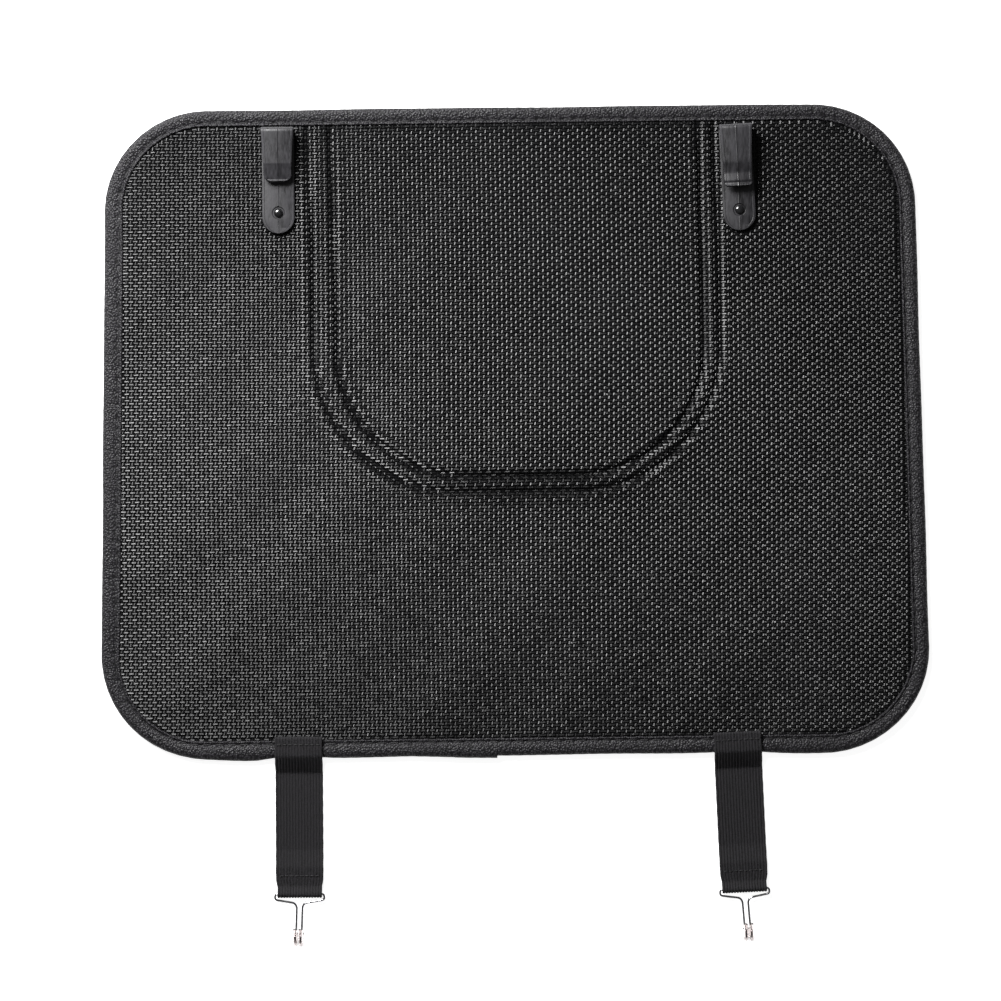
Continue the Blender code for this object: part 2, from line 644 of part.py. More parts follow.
def build():
    clear_scene()
    woven = material("black_woven_pvc", (0.012, 0.012, 0.013), 0.35)
    bound = material("black_grained_binding", (0.03, 0.028, 0.033), 0.55)
    plastic = material("black_clip_plastic", (0.05, 0.05, 0.056), 0.42)
    dome = material("black_rivet", (0.01, 0.01, 0.011), 0.15)
    elastic = material("black_elastic", (0.017, 0.016, 0.018), 0.8)
    chrome = material("chromed_wire", (0.6, 0.6, 0.61), 0.12, metallic=1.0)
    vinyl = material("clear_vinyl", (0.9, 0.88, 0.87), 0.1, alpha=0.5)
    left_leaf = Leaf(LEFT_LEAF_STRAIGHT, LEFT_LEAF_SAG, LEFT_LEAF_DIP, LEFT_LEAF_PINCH,
                     LEFT_LEAF_LIP, LEFT_LEAF_RISE, LEFT_LEAF_CORNER)
    right_leaf = Leaf(RIGHT_LEAF_STRAIGHT, RIGHT_LEAF_SAG, RIGHT_LEAF_DIP, RIGHT_LEAF_PINCH,
                      RIGHT_LEAF_LIP, RIGHT_LEAF_RISE, RIGHT_LEAF_CORNER)
    mat_panel(woven)
    edge_binding(bound)
    for side, sign, clip_tilt, leaf, strap_tilt in (
            ("left", -1, CLIP_TILT_LEFT, left_leaf, STRAP_TILT_LEFT),
            ("right", 1, CLIP_TILT_RIGHT, right_leaf, STRAP_TILT_RIGHT)):
        spring_clip(side, sign * CLIP_X, clip_tilt, leaf, plastic)
        rivet(side, sign * CLIP_X, dome)
        strap = strap_frame(sign * STRAP_X, strap_tilt)
        hook = hook_frame(strap)
        lean = sign * HOOK_LEG_LEAN
        elastic_strap(side, strap, elastic)
        wire_hook(side, hook, lean, chrome)
        for place, leg in (("left", -1), ("right", 1)):
            tip_sleeve(f"{side}_hook_{place}_sleeve", hook, sleeve_path(leg, lean), vinyl)
    centre_on_origin()


build()
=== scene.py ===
"""Dressed model of the kick mat: woven sheet, bound edge, clips, straps and hooks, and its camera.

Shapes are worked out in millimetres about the middle of the mat, and become row-frame metres
when their meshes are made.
"""
import math

import bpy
import numpy as np
from mathutils import Matrix, Vector


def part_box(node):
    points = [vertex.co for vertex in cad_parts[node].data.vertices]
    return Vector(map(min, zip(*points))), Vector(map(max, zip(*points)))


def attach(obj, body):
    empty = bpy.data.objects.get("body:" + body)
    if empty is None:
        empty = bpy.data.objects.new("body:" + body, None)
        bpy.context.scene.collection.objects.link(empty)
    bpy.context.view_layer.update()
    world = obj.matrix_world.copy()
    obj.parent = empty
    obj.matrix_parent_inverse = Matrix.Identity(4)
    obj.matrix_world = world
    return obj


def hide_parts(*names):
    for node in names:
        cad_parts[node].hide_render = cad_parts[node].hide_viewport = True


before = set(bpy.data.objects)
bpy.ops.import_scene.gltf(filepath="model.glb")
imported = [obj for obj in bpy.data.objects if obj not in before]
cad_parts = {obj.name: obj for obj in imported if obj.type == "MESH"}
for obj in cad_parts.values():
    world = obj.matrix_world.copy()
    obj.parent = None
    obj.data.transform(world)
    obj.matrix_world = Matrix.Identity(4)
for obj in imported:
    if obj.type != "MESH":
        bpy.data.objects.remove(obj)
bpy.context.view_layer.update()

MM = 0.001
DEGREE = math.radians(1.0)
UP = np.array((0.0, 0.0, 1.0))
rng = np.random.default_rng(11)

panel_low, panel_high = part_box("mat_panel")
MIDDLE = np.array(((panel_low.x + panel_high.x) / 2, (panel_low.y + panel_high.y) / 2, 0.0))

# The mat and its layers, as in the part's source
MAT_HEIGHT = 340.0
MAT_TOP_WIDTH = 424.0
MAT_BOTTOM_WIDTH = 437.0
CORNER_RADIUS = 54.0
PANEL_FRONT = 1.1
RIM_TOP = 3.25
SLOT_TOP = 3.6
SLOT_BOTTOM = 0.8
BINDING_TOP = 4.9
LIP_INSET = 8.9
SEAT_GAP = 0.3
FACES_FOR_SIGN = 40000

# The binding's seam and its threads
STITCH_INSET = 6.9
STITCH_PITCH = 6.56
STITCH_HALF = 2.5
STITCH_SEAT = 3.96
THREAD_RISE = 0.3
THREAD_POINTS = 8

# The tape: how its width departs from the usual, and how its upper end laps over the other
WIDER_BELOW = 0.2
WIDER_LEFT = 1.3
NARROWER_ABOVE = 0.35
WIDENING_FROM = 2.5
LAP_X = -10.1
LAP_STEP = 1.2
LAP_TAPER = 46.0
LAP_LAYER = 0.42
LAP_LAYER_INSET = 6.6
TAPE_SHARP_ANGLE = 42.0

# The weave: coated yarns, 2.43 mm apart across the mat and 1.67 mm apart up it
WARP_PITCH = 2.43
WEFT_PITCH = 1.67
WEAVE_MIDDLE = 3.5
WAVE_HEIGHT = 0.26
CRIMP = 0.3
# each point of a float as its share of the pitch along the yarn and its shift aside
WEFT_FLOAT = ((-0.58, 0.0), (0.32, 0.0))
WARP_FLOAT = ((-0.3, -0.26),)
WARP_UNDER_SHIFT = 0.26
YARN_END_INSET = 7.9
YARN_END_ROOM = 0.7
WARP_MARGIN = 1.6
WEFT_MARGIN = 0.9
YARN_JITTER = (0.05, 0.05, 0.03)
# each corner of a yarn's section as (sideways, up)
WEFT_SECTION = np.array(((-0.74, -0.08), (0.74, -0.08), (0.42, 0.14), (-0.12, 0.35)))
WARP_SECTION = np.array(((1.02, -0.08), (-1.02, -0.08), (-0.55, 0.17), (-0.07, 0.3)))

# The sheet under the yarns
SHEET_INSET = 1.4
SHEET_DEPTH = 0.42
SHEET_SPREAD = 1.6
RIM_REACH = 1.2

# Two grooves pressed into it, one U inside the other: middle x, half width and bottom y of each
U_BOTTOM = -31.8
U_BAND = 8.7
U_LEAN = 2.6
U_CORNER_CENTRE = 44.1
OUTER_U = (3.1, 106.6, U_BOTTOM)
INNER_U = (4.6, 96.6, U_BOTTOM + U_BAND)
OUTER_DEPTH = 0.8
INNER_DEPTH = 1.05
GROOVE_HALF = 2.2
SHOULDER = 0.32
SHOULDER_AWAY = 3.9
SHOULDER_SPREAD = 1.9
PILLOW = 0.55
PILLOW_REACH = 9.0
LIP_REACH = 1.8
LIP_DROP = 0.3


def placed(points):
    """Millimetres about the mat's middle, as metres in the row frame."""
    return np.asarray(points, float) * MM + MIDDLE


def loft(rings, joined=False):
    """Points and faces of a skin over rings of equal length, with capped ends unless they join."""
    rings = np.asarray(rings, float)
    count, size = rings.shape[:2]
    index = np.arange(count * size).reshape(count, size)
    here = index if joined else index[:-1]
    there = np.roll(index, -1, axis=0) if joined else index[1:]
    quads = np.stack((here, np.roll(here, -1, 1), np.roll(there, -1, 1), there), axis=-1)
    faces = quads.reshape(-1, 4).tolist()
    if not joined:
        faces += [index[0][::-1].tolist(), index[-1].tolist()]
    return rings.reshape(-1, 3), faces


def merged(parts):
    """Several (points, faces) pairs as one."""
    points, faces, start = [], [], 0
    for some_points, some_faces in parts:
        points.append(some_points)
        faces += [[i + start for i in face] for face in some_faces]
        start += len(some_points)
    return np.concatenate(points), faces


def signed_volume(points, faces):
    """Six times the volume inside the faces, negative where they face inwards."""
    total = 0.0
    for face in faces:
        first = points[face[0]]
        for a, b in zip(face[1:], face[2:]):
            total += float(np.dot(first, np.cross(points[a], points[b])))
    return total


def add_piece(name, shape, mat, body="mat", nodes=(), smooth=True):
    """Make the mesh, turn its faces outwards, and put it on its body."""
    points, faces = shape
    if signed_volume(points - points.mean(axis=0), faces[:FACES_FOR_SIGN]) < 0.0:
        faces = [face[::-1] for face in faces]
    mesh = bpy.data.meshes.new(name)
    mesh.from_pydata(placed(points).tolist(), [], faces)
    mesh.materials.append(mat)
    mesh.polygons.foreach_set("use_smooth", [smooth] * len(mesh.polygons))
    mesh.update()
    ob = bpy.data.objects.new(name, mesh)
    bpy.context.scene.collection.objects.link(ob)
    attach(ob, body)
    if nodes:
        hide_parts(*nodes)
    return ob


# Shapes that the part's source uses too


def corner_arc(before, corner, after, radius, steps):
    """Points of the arc that rounds a corner between two straight runs."""
    back = (before - corner).normalized()
    ahead = (after - corner).normalized()
    turn = math.pi - back.angle(ahead)
    if radius <= 0.0 or turn < 0.5 * DEGREE:
        return [corner.copy()]
    centre = corner + (back + ahead).normalized() * radius / math.cos(turn / 2)
    start = corner + back * radius * math.tan(turn / 2) - centre
    angles = [turn * i / steps for i in range(steps + 1)]
    return [centre + start * math.cos(a) - back * radius * math.sin(a) for a in angles]


def rounded_path(corners, radii, step=9 * DEGREE):
    """A path through the corners, each inner one rounded to its own radius."""
    points = [corners[0]]
    for i, radius in enumerate(radii, start=1):
        before, corner, after = corners[i - 1], corners[i], corners[i + 1]
        turn = math.pi - (before - corner).angle(after - corner)
        steps = max(1, math.ceil(turn / step))
        for point in corner_arc(before, corner, after, radius, steps):
            if (point - points[-1]).length > 0.01:
                points.append(point)
    points.append(corners[-1])
    return points


def resampled(path, step):
    """The same path with its long straight runs cut into steps."""
    points = [path[0]]
    for before, after in zip(path, path[1:]):
        count = max(1, round((after - before).length / step))
        points += [before.lerp(after, i / count) for i in range(1, count + 1)]
    return points


def mat_corners(inset):
    """The four corners of the trapezoid, drawn in by the inset, from bottom left."""
    slope = (MAT_BOTTOM_WIDTH - MAT_TOP_WIDTH) / 2 / MAT_HEIGHT
    side_inset = inset * math.hypot(1.0, slope)
    edge = MAT_HEIGHT / 2 - inset
    bottom = MAT_BOTTOM_WIDTH / 2 - inset * slope - side_inset
    top = MAT_TOP_WIDTH / 2 + inset * slope - side_inset
    return [Vector((-bottom, -edge)), Vector((bottom, -edge)),
            Vector((top, edge)), Vector((-top, edge))]


def mat_outline(inset, step=1.64):
    """Points round the mat, as many for any inset, from the bottom left corner's arc."""
    corners = mat_corners(inset)
    arc_steps = round(CORNER_RADIUS * math.pi / 2 / step)
    arcs = [corner_arc(corners[i - 1], corners[i], corners[(i + 1) % 4],
                       CORNER_RADIUS - inset, arc_steps) for i in range(4)]
    widths = (MAT_BOTTOM_WIDTH, MAT_HEIGHT, MAT_TOP_WIDTH, MAT_HEIGHT)
    points = []
    for i, arc in enumerate(arcs):
        following = arcs[(i + 1) % 4][0]
        steps = round((widths[i] - 2 * CORNER_RADIUS) / step)
        points += arc + [arc[-1].lerp(following, k / steps) for k in range(1, steps)]
    return np.array([tuple(p) for p in points])


def edge_inset(x, y):
    """Distance from the mat's outer edge, measured inwards."""
    slope = (MAT_BOTTOM_WIDTH - MAT_TOP_WIDTH) / 2 / MAT_HEIGHT
    half = (MAT_BOTTOM_WIDTH + MAT_TOP_WIDTH) / 4 - slope * y
    across = (half - np.abs(x)) / math.hypot(1.0, slope)
    along = MAT_HEIGHT / 2 - np.abs(y)
    in_corner = (across < CORNER_RADIUS) & (along < CORNER_RADIUS)
    rounded = CORNER_RADIUS - np.hypot(CORNER_RADIUS - across, CORNER_RADIUS - along)
    return np.where(in_corner, rounded, np.minimum(across, along))


def u_distance(x, y, groove):
    """Distance from the middle line of a U groove, negative inside the U."""
    centre, half_width, bottom = groove
    radius = U_CORNER_CENTRE - bottom
    share = np.clip((y - U_CORNER_CENTRE) / (MAT_HEIGHT / 2 - U_CORNER_CENTRE), 0.0, None)
    across = np.abs(x + U_LEAN * share ** 2 - centre)
    beyond = np.maximum(across - (half_width - radius), 0.0)
    rounded = np.hypot(beyond, y - U_CORNER_CENTRE) - radius
    return np.where(y > U_CORNER_CENTRE, across - half_width, rounded)


def undulation(x, y):
    """Soft slanting waves, about 50 mm from crest to crest, as in a sheet that was rolled."""
    across = (x - y) * 0.7071
    along = (x + y) * 0.7071
    bend = 9.0 * np.sin(along / 71.0 + 0.6)
    return (0.5 * np.sin((across + bend) / 8.4) + 0.35 * np.sin((across - bend) / 13.1 + 2.0)
            + 0.3 * np.sin(along / 19.0 + across / 33.0))


def surface(x, y):
    """Height of the middle of the weave, with its waves and grooves, low at the lip."""
    z = WEAVE_MIDDLE + WAVE_HEIGHT * undulation(x, y)
    inner = u_distance(x, y, INNER_U)
    outer = u_distance(x, y, OUTER_U)
    for away, depth in ((np.abs(outer), OUTER_DEPTH), (np.abs(inner), INNER_DEPTH)):
        z = z - depth * 0.5 * (1 + np.cos(math.pi * np.clip(away / GROOVE_HALF, 0, 1)))
        z = z + SHOULDER * np.exp(-((away - SHOULDER_AWAY) / SHOULDER_SPREAD) ** 2)
    z = z + PILLOW * (1 - np.exp(np.clip(inner, None, 0.0) / PILLOW_REACH))
    return z - (z - WEAVE_MIDDLE + LIP_DROP) * near_lip(x, y, LIP_REACH) ** 2


def near_lip(x, y, reach):
    """1 under the tape's lip, falling to 0 over the reach beside it."""
    return np.clip((LIP_INSET + reach + widening(x, y) - edge_inset(x, y)) / reach, 0.0, 1.0)


def widening(x, y):
    """How much wider than usual the tape lies: more below and at the left, less at the top."""
    low = np.clip((-y - 100.0) / 60.0, 0.0, 1.0)
    high = np.clip((y - 100.0) / 60.0, 0.0, 1.0)
    left = np.clip((-x - 150.0) / 50.0, 0.0, 1.0) * (1 - low) * (1 - high)
    return (WIDER_BELOW * low ** 2 * (3 - 2 * low) - NARROWER_ABOVE * high ** 2 * (3 - 2 * high)
            + WIDER_LEFT * left)


# Materials


class Finish:
    """A material under construction: a Principled shader with textures in object space."""

    def __init__(self, name, colour, roughness, **sockets):
        self.material = bpy.data.materials.new(name)
        self.material.use_nodes = True
        self.tree = self.material.node_tree
        self.shader = self.tree.nodes["Principled BSDF"]
        self.set(self.shader, "Base Color", (*colour, 1.0))
        self.set(self.shader, "Roughness", roughness)
        for socket, value in sockets.items():
            self.set(self.shader, socket.replace("_", " "), value)
        self.space = self.tree.nodes.new("ShaderNodeTexCoord").outputs["Object"]
        self.height = None

    def set(self, node, socket, value):
        node.inputs[socket].default_value = value

    def node(self, kind, links=None, **values):
        node = self.tree.nodes.new("ShaderNode" + kind)
        for key, value in values.items():
            if hasattr(node, key) and key not in node.inputs:
                setattr(node, key, value)
            else:
                node.inputs[key.replace("_", " ")].default_value = value
        for socket, source in (links or {}).items():
            self.tree.links.new(source, node.inputs[socket])
        return node

    def stretched(self, scale):
        return self.node("Mapping", {"Vector": self.space}, Scale=scale).outputs["Vector"]

    def noise(self, scale, detail=3.0, stretch=None, roughness=0.5):
        vector = self.stretched(stretch) if stretch else self.space
        node = self.node("TexNoise", {"Vector": vector}, Scale=scale, Detail=detail)
        node.inputs["Roughness"].default_value = roughness
        return node.outputs["Fac"]

    def between(self, value, low, high, start=0.3, end=0.7):
        node = self.node("MapRange", {"Value": value})
        for socket, number in (("From Min", start), ("From Max", end),
                               ("To Min", low), ("To Max", high)):
            node.inputs[socket].default_value = number
        return node.outputs["Result"]

    def math(self, operation, first, second):
        node = self.tree.nodes.new("ShaderNodeMath")
        node.operation = operation
        for i, value in enumerate((first, second)):
            if isinstance(value, (int, float)):
                node.inputs[i].default_value = value
            else:
                self.tree.links.new(value, node.inputs[i])
        return node.outputs["Value"]

    def vary_colour(self, value, dark, light, start=0.3, end=0.7):
        ramp = self.tree.nodes.new("ShaderNodeValToRGB")
        ramp.color_ramp.elements[0].position = start
        ramp.color_ramp.elements[0].color = (*dark, 1.0)
        ramp.color_ramp.elements[1].position = end
        ramp.color_ramp.elements[1].color = (*light, 1.0)
        self.tree.links.new(value, ramp.inputs["Fac"])
        self.tree.links.new(ramp.outputs["Color"], self.shader.inputs["Base Color"])

    def vary(self, socket, value):
        self.tree.links.new(value, self.shader.inputs[socket])

    def bump(self, value, depth, strength=1.0):
        """Add a layer of relief, its depth in millimetres."""
        node = self.node("Bump", {"Height": value})
        node.inputs["Distance"].default_value = depth * MM
        node.inputs["Strength"].default_value = strength
        if self.height is not None:
            self.tree.links.new(self.height, node.inputs["Normal"])
        self.height = node.outputs["Normal"]
        self.tree.links.new(self.height, self.shader.inputs["Normal"])


def yarn_finish():
    finish = Finish("coated_yarn", (0.003, 0.003, 0.0033), 0.32, Specular_IOR_Level=0.24)
    patches = finish.noise(9.0, 2.0)
    flecks = finish.noise(1400.0, 2.0)
    both = finish.math("ADD", finish.math("MULTIPLY", patches, 0.5),
                       finish.math("MULTIPLY", flecks, 0.5))
    finish.vary_colour(both, (0.001, 0.001, 0.0011), (0.006, 0.006, 0.0066), 0.35, 0.68)
    floats = finish.noise(420.0, 1.0)
    finish.vary("Roughness", finish.between(floats, 0.23, 0.36))
    finish.bump(finish.noise(1900.0, 2.0), 0.03, 0.4)
    return finish.material


def backing_finish():
    finish = Finish("dark_backing", (0.005, 0.005, 0.0055), 0.75)
    fibres = finish.noise(1600.0, 4.0)
    finish.vary_colour(fibres, (0.0015, 0.0015, 0.0017), (0.005, 0.005, 0.0056))
    finish.vary("Roughness", finish.between(fibres, 0.65, 0.9))
    finish.bump(fibres, 0.12, 0.7)
    finish.bump(finish.noise(60.0, 2.0), 0.25, 0.5)
    return finish.material


def binding_finish():
    finish = Finish("grained_tape", (0.01, 0.0092, 0.011), 0.5, Specular_IOR_Level=0.34)
    bent = finish.node("TexNoise", {"Vector": finish.space}, Scale=380.0, Detail=2.0)
    mixed = finish.node("VectorMath", {0: finish.space}, operation="ADD")
    scaled = finish.node("VectorMath", {0: bent.outputs["Color"]}, operation="SCALE")
    scaled.inputs["Scale"].default_value = 0.0007
    finish.tree.links.new(scaled.outputs["Vector"], mixed.inputs[1])
    cells = finish.node("TexVoronoi", {"Vector": mixed.outputs["Vector"]}, Scale=900.0)
    pebble = cells.outputs["Distance"]
    # colour lighter on the pebbles and darker in the hollows between them, where the bump sinks:
    # the tape's grain, with painted shade in its hollows
    finish.vary_colour(pebble, (0.021, 0.0192, 0.0235), (0.0034, 0.0031, 0.0038), 0.2, 0.7)
    worn = finish.noise(70.0, 3.0)
    finish.vary("Roughness", finish.math("ADD", finish.between(pebble, 0.36, 0.5, 0.2, 0.8),
                                         finish.between(worn, 0.0, 0.16)))
    finish.bump(finish.between(pebble, 1.0, 0.0, 0.15, 0.8), 0.3, 1.0)
    finish.bump(finish.noise(3000.0, 2.0), 0.02, 0.5)
    finish.bump(finish.noise(130.0, 2.0), 0.3, 0.5)
    return finish.material


def plastic_finish():
    finish = Finish("moulded_plastic", (0.009, 0.009, 0.01), 0.5, Specular_IOR_Level=0.55)
    flow = finish.noise(90.0, 4.0, (3.0, 0.35, 1.0))
    marks = finish.noise(420.0, 5.0, (2.2, 0.6, 1.0))
    both = finish.math("ADD", finish.math("MULTIPLY", flow, 0.55),
                       finish.math("MULTIPLY", marks, 0.45))
    finish.vary_colour(both, (0.002, 0.0018, 0.0024), (0.019, 0.018, 0.022), 0.36, 0.64)
    finish.vary("Roughness", finish.between(both, 0.36, 0.66, 0.36, 0.64))
    finish.bump(finish.noise(2600.0, 2.0), 0.015, 0.6)
    finish.bump(marks, 0.13, 0.8)
    finish.bump(finish.noise(150.0, 2.0), 0.12, 0.35)
    return finish.material


def rivet_finish():
    finish = Finish("gloss_black_rivet", (0.005, 0.005, 0.0056), 0.2, Specular_IOR_Level=0.9)
    haze = finish.noise(900.0, 3.0)
    finish.vary_colour(haze, (0.002, 0.002, 0.0024), (0.007, 0.007, 0.008))
    finish.vary("Roughness", finish.between(haze, 0.16, 0.28))
    finish.bump(finish.noise(1200.0, 2.0), 0.012, 0.5)
    return finish.material


def elastic_finish():
    finish = Finish("ribbed_elastic", (0.006, 0.0055, 0.0065), 0.8, Specular_IOR_Level=0.3)
    picks = finish.node("TexWave", {"Vector": finish.space}, bands_direction="Y",
                        Scale=820.0, Distortion=1.6, Detail=2.0)
    picks.inputs["Detail Scale"].default_value = 900.0
    lint = finish.noise(1700.0, 3.0)
    finish.vary_colour(lint, (0.0016, 0.0015, 0.0018), (0.022, 0.0205, 0.0235), 0.36, 0.66)
    finish.vary("Roughness", finish.between(lint, 0.65, 0.92))
    finish.bump(picks.outputs["Fac"], 0.06, 0.5)
    finish.bump(lint, 0.08, 0.6)
    return finish.material


def thread_finish(name, dark, light):
    finish = Finish(name, light, 0.6)
    twist = finish.node("TexWave", {"Vector": finish.stretched((1.0, 1.0, 0.4))},
                        bands_direction="DIAGONAL", Scale=700.0, Distortion=0.6, Detail=1.0)
    # colour lighter on the raised plies and darker in the grooves between them, where the bump
    # sinks: painted shade in the twist's grooves
    finish.vary_colour(twist.outputs["Fac"], dark, light)
    finish.vary("Roughness", finish.between(finish.noise(2500.0), 0.45, 0.7))
    finish.bump(twist.outputs["Fac"], 0.08, 0.7)
    return finish.material


def chrome_finish():
    finish = Finish("bright_plating", (0.5, 0.5, 0.51), 0.1, Metallic=1.0)
    marks = finish.noise(700.0, 4.0)
    finish.vary_colour(marks, (0.3, 0.3, 0.31), (0.58, 0.58, 0.59))
    finish.vary("Roughness", finish.between(marks, 0.06, 0.2))
    finish.bump(finish.noise(1500.0, 3.0), 0.01, 0.5)
    return finish.material


def vinyl_finish():
    finish = Finish("clear_soft_tube", (0.96, 0.91, 0.9), 0.16, Transmission_Weight=1.0,
                    IOR=1.46)
    cloud = finish.noise(500.0, 3.0)
    finish.vary_colour(cloud, (0.93, 0.86, 0.85), (0.99, 0.96, 0.95))
    finish.vary("Roughness", finish.between(cloud, 0.1, 0.3))
    finish.bump(finish.noise(450.0, 2.0), 0.1, 0.5)
    return finish.material


# Pieces


def woven_sheet(mat):
    """The laminate under the yarns: smooth front, thin rim in the binding, pressed grooves."""
    radius = CORNER_RADIUS - SHEET_INSET
    reach = MAT_HEIGHT / 2 - SHEET_INSET
    bend = [reach - radius * (1 - math.cos(a * DEGREE)) for a in range(3, 90, 6)]
    straight = np.linspace(reach - radius, -(reach - radius), 96).tolist()
    rows = [reach - 0.02] + bend + straight + [-y for y in reversed(bend)] + [0.02 - reach]
    outline = mat_outline(SHEET_INSET, 3.0)
    share = np.linspace(-1.0, 1.0, 175)
    front_share = np.linspace(1.0, -1.0, 13)
    around = (-SHEET_SPREAD, 0, SHEET_SPREAD)
    rings = []
    for y in rows:
        left, right = crossings(outline, 1, y)
        x = (left + right) / 2 + (right - left) / 2 * share
        bed = np.min([surface(x + a, y + b) for a in around for b in around], 0) - SHEET_DEPTH
        at_rim = near_lip(x, y, RIM_REACH)
        z = bed * (1 - at_rim) + np.minimum(bed, RIM_TOP) * at_rim
        top = np.stack((x, np.full_like(x, y), z), axis=1)
        x = (left + right) / 2 + (right - left) / 2 * front_share
        front = np.stack((x, np.full_like(x, y), np.full_like(x, PANEL_FRONT)), axis=1)
        rings.append(np.concatenate((top, front)))
    add_piece("woven_sheet", loft(rings), mat, nodes=("mat_panel",))


def crossings(outline, axis, value):
    """Where a line at one value of x or y enters and leaves a closed outline."""
    following = np.roll(outline, -1, axis=0)
    a, b = outline[:, axis] - value, following[:, axis] - value
    crossed = np.nonzero((a <= 0.0) != (b <= 0.0))[0]
    share = a[crossed] / (a[crossed] - b[crossed])
    other = 1 - axis
    found = outline[crossed, other] * (1 - share) + following[crossed, other] * share
    return float(found.min()), float(found.max())


def wandered(x, y):
    """Yarns of a real cloth run slightly bowed."""
    return x + 0.35 * np.sin(y / 47.0 + x / 140.0), y + 0.3 * np.sin(x / 58.0 + 1.1)


def yarn_run(fixed, stations, span, along_x, parity):
    """The middle line of one yarn: the points of each float, and one under each crossing."""
    pitch = stations[1] - stations[0]
    float_points = WEFT_FLOAT if along_x else WARP_FLOAT
    under = 0.0 if along_x else WARP_UNDER_SHIFT
    along, lift, shift = [span[0]], [0.0], [0.0]
    for number, at in enumerate(stations):
        if not span[0] + YARN_END_ROOM * pitch < at < span[1] - YARN_END_ROOM * pitch:
            continue
        over = (number + parity) % 2 == 0
        for share, aside in float_points if over else ((0.0, under),):
            along.append(at + share * pitch)
            shift.append(aside)
            lift.append(CRIMP if over else -CRIMP)
    along = np.array(along + [span[1]])
    lift = np.array(lift + [0.0])
    across = fixed + np.array(shift + [0.0])
    x, y = wandered(along, across) if along_x else wandered(across, along)
    z = surface(x, y) + lift
    jitter = rng.normal(0.0, 1.0, (len(z), 3)) * YARN_JITTER
    return np.stack((x, y, z), axis=1) + jitter


def yarn_shape(runs, sideways, section):
    """Closed flat yarns along the runs; the section gives (sideways, up) pairs."""
    side = np.array(sideways, float)
    offset = section[:, :1] * side + section[:, 1:] * UP
    return merged([loft(run[:, None, :] + offset[None]) for run in runs])


def yarn_places(pitch, reach):
    """Where the yarns lie to both sides of the middle, as far out as the reach."""
    places = np.arange(-100, 101) * pitch
    return places[np.abs(places) < reach]


def weave(mat):
    """Weft across the mat and warp up it, each over and under the other by turns."""
    outline = mat_outline(YARN_END_INSET, 2.0)
    columns = yarn_places(WARP_PITCH, MAT_BOTTOM_WIDTH / 2 - YARN_END_INSET - WARP_MARGIN)
    rows = yarn_places(WEFT_PITCH, MAT_HEIGHT / 2 - YARN_END_INSET - WEFT_MARGIN)
    weft = [yarn_run(y, columns, crossings(outline, 1, y), True, j) for j, y in enumerate(rows)]
    warp = [yarn_run(x, rows, crossings(outline, 0, x), False, i + 1)
            for i, x in enumerate(columns)]
    third = len(weft) // 3
    for name, runs, sideways, section in (
            ("weft_yarns_lower", weft[:third], (0, 1, 0), WEFT_SECTION),
            ("weft_yarns_middle", weft[third: 2 * third], (0, 1, 0), WEFT_SECTION),
            ("weft_yarns_upper", weft[2 * third:], (0, 1, 0), WEFT_SECTION),
            ("warp_yarns_left", warp[: len(warp) // 2], (1, 0, 0), WARP_SECTION),
            ("warp_yarns_right", warp[len(warp) // 2:], (1, 0, 0), WARP_SECTION)):
        add_piece(name, yarn_shape(runs, sideways, section), mat,
                  smooth=False)


BINDING_SECTION = (
    # inset, height, share of the lap's swelling, pull of the stitches down, pull outwards
    (8.8, 0.2, 0.0, 0.0, 0.0), (8.3, 0.0, 0.0, 0.0, 0.0), (7.4, 0.04, 0.0, 0.0, 0.0),
    (6.9, 0.16, 0.0, -0.1, 0.0), (6.3, 0.04, 0.0, 0.0, 0.0), (5.2, 0.0, 0.0, 0.0, 0.0),
    (2.45, 0.0, 0.3, 0.0, 0.0), (1.3, 0.22, 0.6, 0.0, 0.0), (0.5, 0.8, 0.9, 0.0, 0.05),
    (0.1, 1.6, 1.0, 0.0, 0.08), (0.0, 2.45, 1.0, 0.0, 0.08), (0.1, 3.3, 1.0, 0.0, 0.08),
    (0.5, 4.08, 0.9, 0.02, 0.05), (1.2, 4.62, 0.7, 0.04, 0.0), (2.1, 4.88, 0.5, 0.06, 0.0),
    (3.2, 4.93, 0.3, 0.08, 0.0), (4.4, 4.82, 0.2, 0.1, 0.0), (5.5, 4.62, 0.1, 0.14, 0.0),
    (6.25, 4.4, 0.0, 0.22, 0.0), (6.9, 4.16, 0.0, 0.3, 0.0), (7.4, 4.34, 0.0, 0.24, 0.0),
    (7.85, 4.56, 0.0, 0.14, 0.06), (8.3, 4.58, 0.0, 0.12, 0.12), (8.7, 4.34, 0.0, 0.1, 0.2),
    (8.9, 3.9, 0.0, 0.04, 0.22), (8.8, SLOT_TOP, 0.0, 0.0, 0.2), (4.0, SLOT_TOP, 0.0, 0.0, 0.0),
    (1.1, SLOT_TOP, 0.0, 0.0, 0.0), (1.1, SLOT_BOTTOM, 0.0, 0.0, 0.0),
    (8.8, SLOT_BOTTOM, 0.0, 0.0, 0.0),
)
EDGE_BULGES = (
    # x, depth and reach of each bulge of the bottom edge
    (-141.0, 1.8, 26.0), (-84.0, 0.75, 30.0), (152.0, 0.9, 24.0), (82.0, 0.3, 25.0),
    (-8.0, 0.5, 24.0),
)
EDGE_HELD = 17.0


def tape_ring(inset):
    """The outline at an inset into the tape, and the unit step inwards at each of its points."""
    ring = mat_outline(inset)
    inward = mat_outline(inset + 1.0) - ring
    share = min(1.0, max(0.0, (inset - WIDENING_FROM) / (LIP_INSET - WIDENING_FROM)))
    return ring + inward * (share * widening(ring[:, 0], ring[:, 1]))[:, None], inward


def stitch_line():
    """Points on the seam, their distances along it, and the even spacing of its holes."""
    seam, _ = tape_ring(STITCH_INSET)
    gaps = np.linalg.norm(np.roll(seam, -1, axis=0) - seam, axis=1)
    distance = np.concatenate(([0.0], np.cumsum(gaps)))
    count = round(distance[-1] / STITCH_PITCH)
    return seam, distance, distance[-1] / count, count


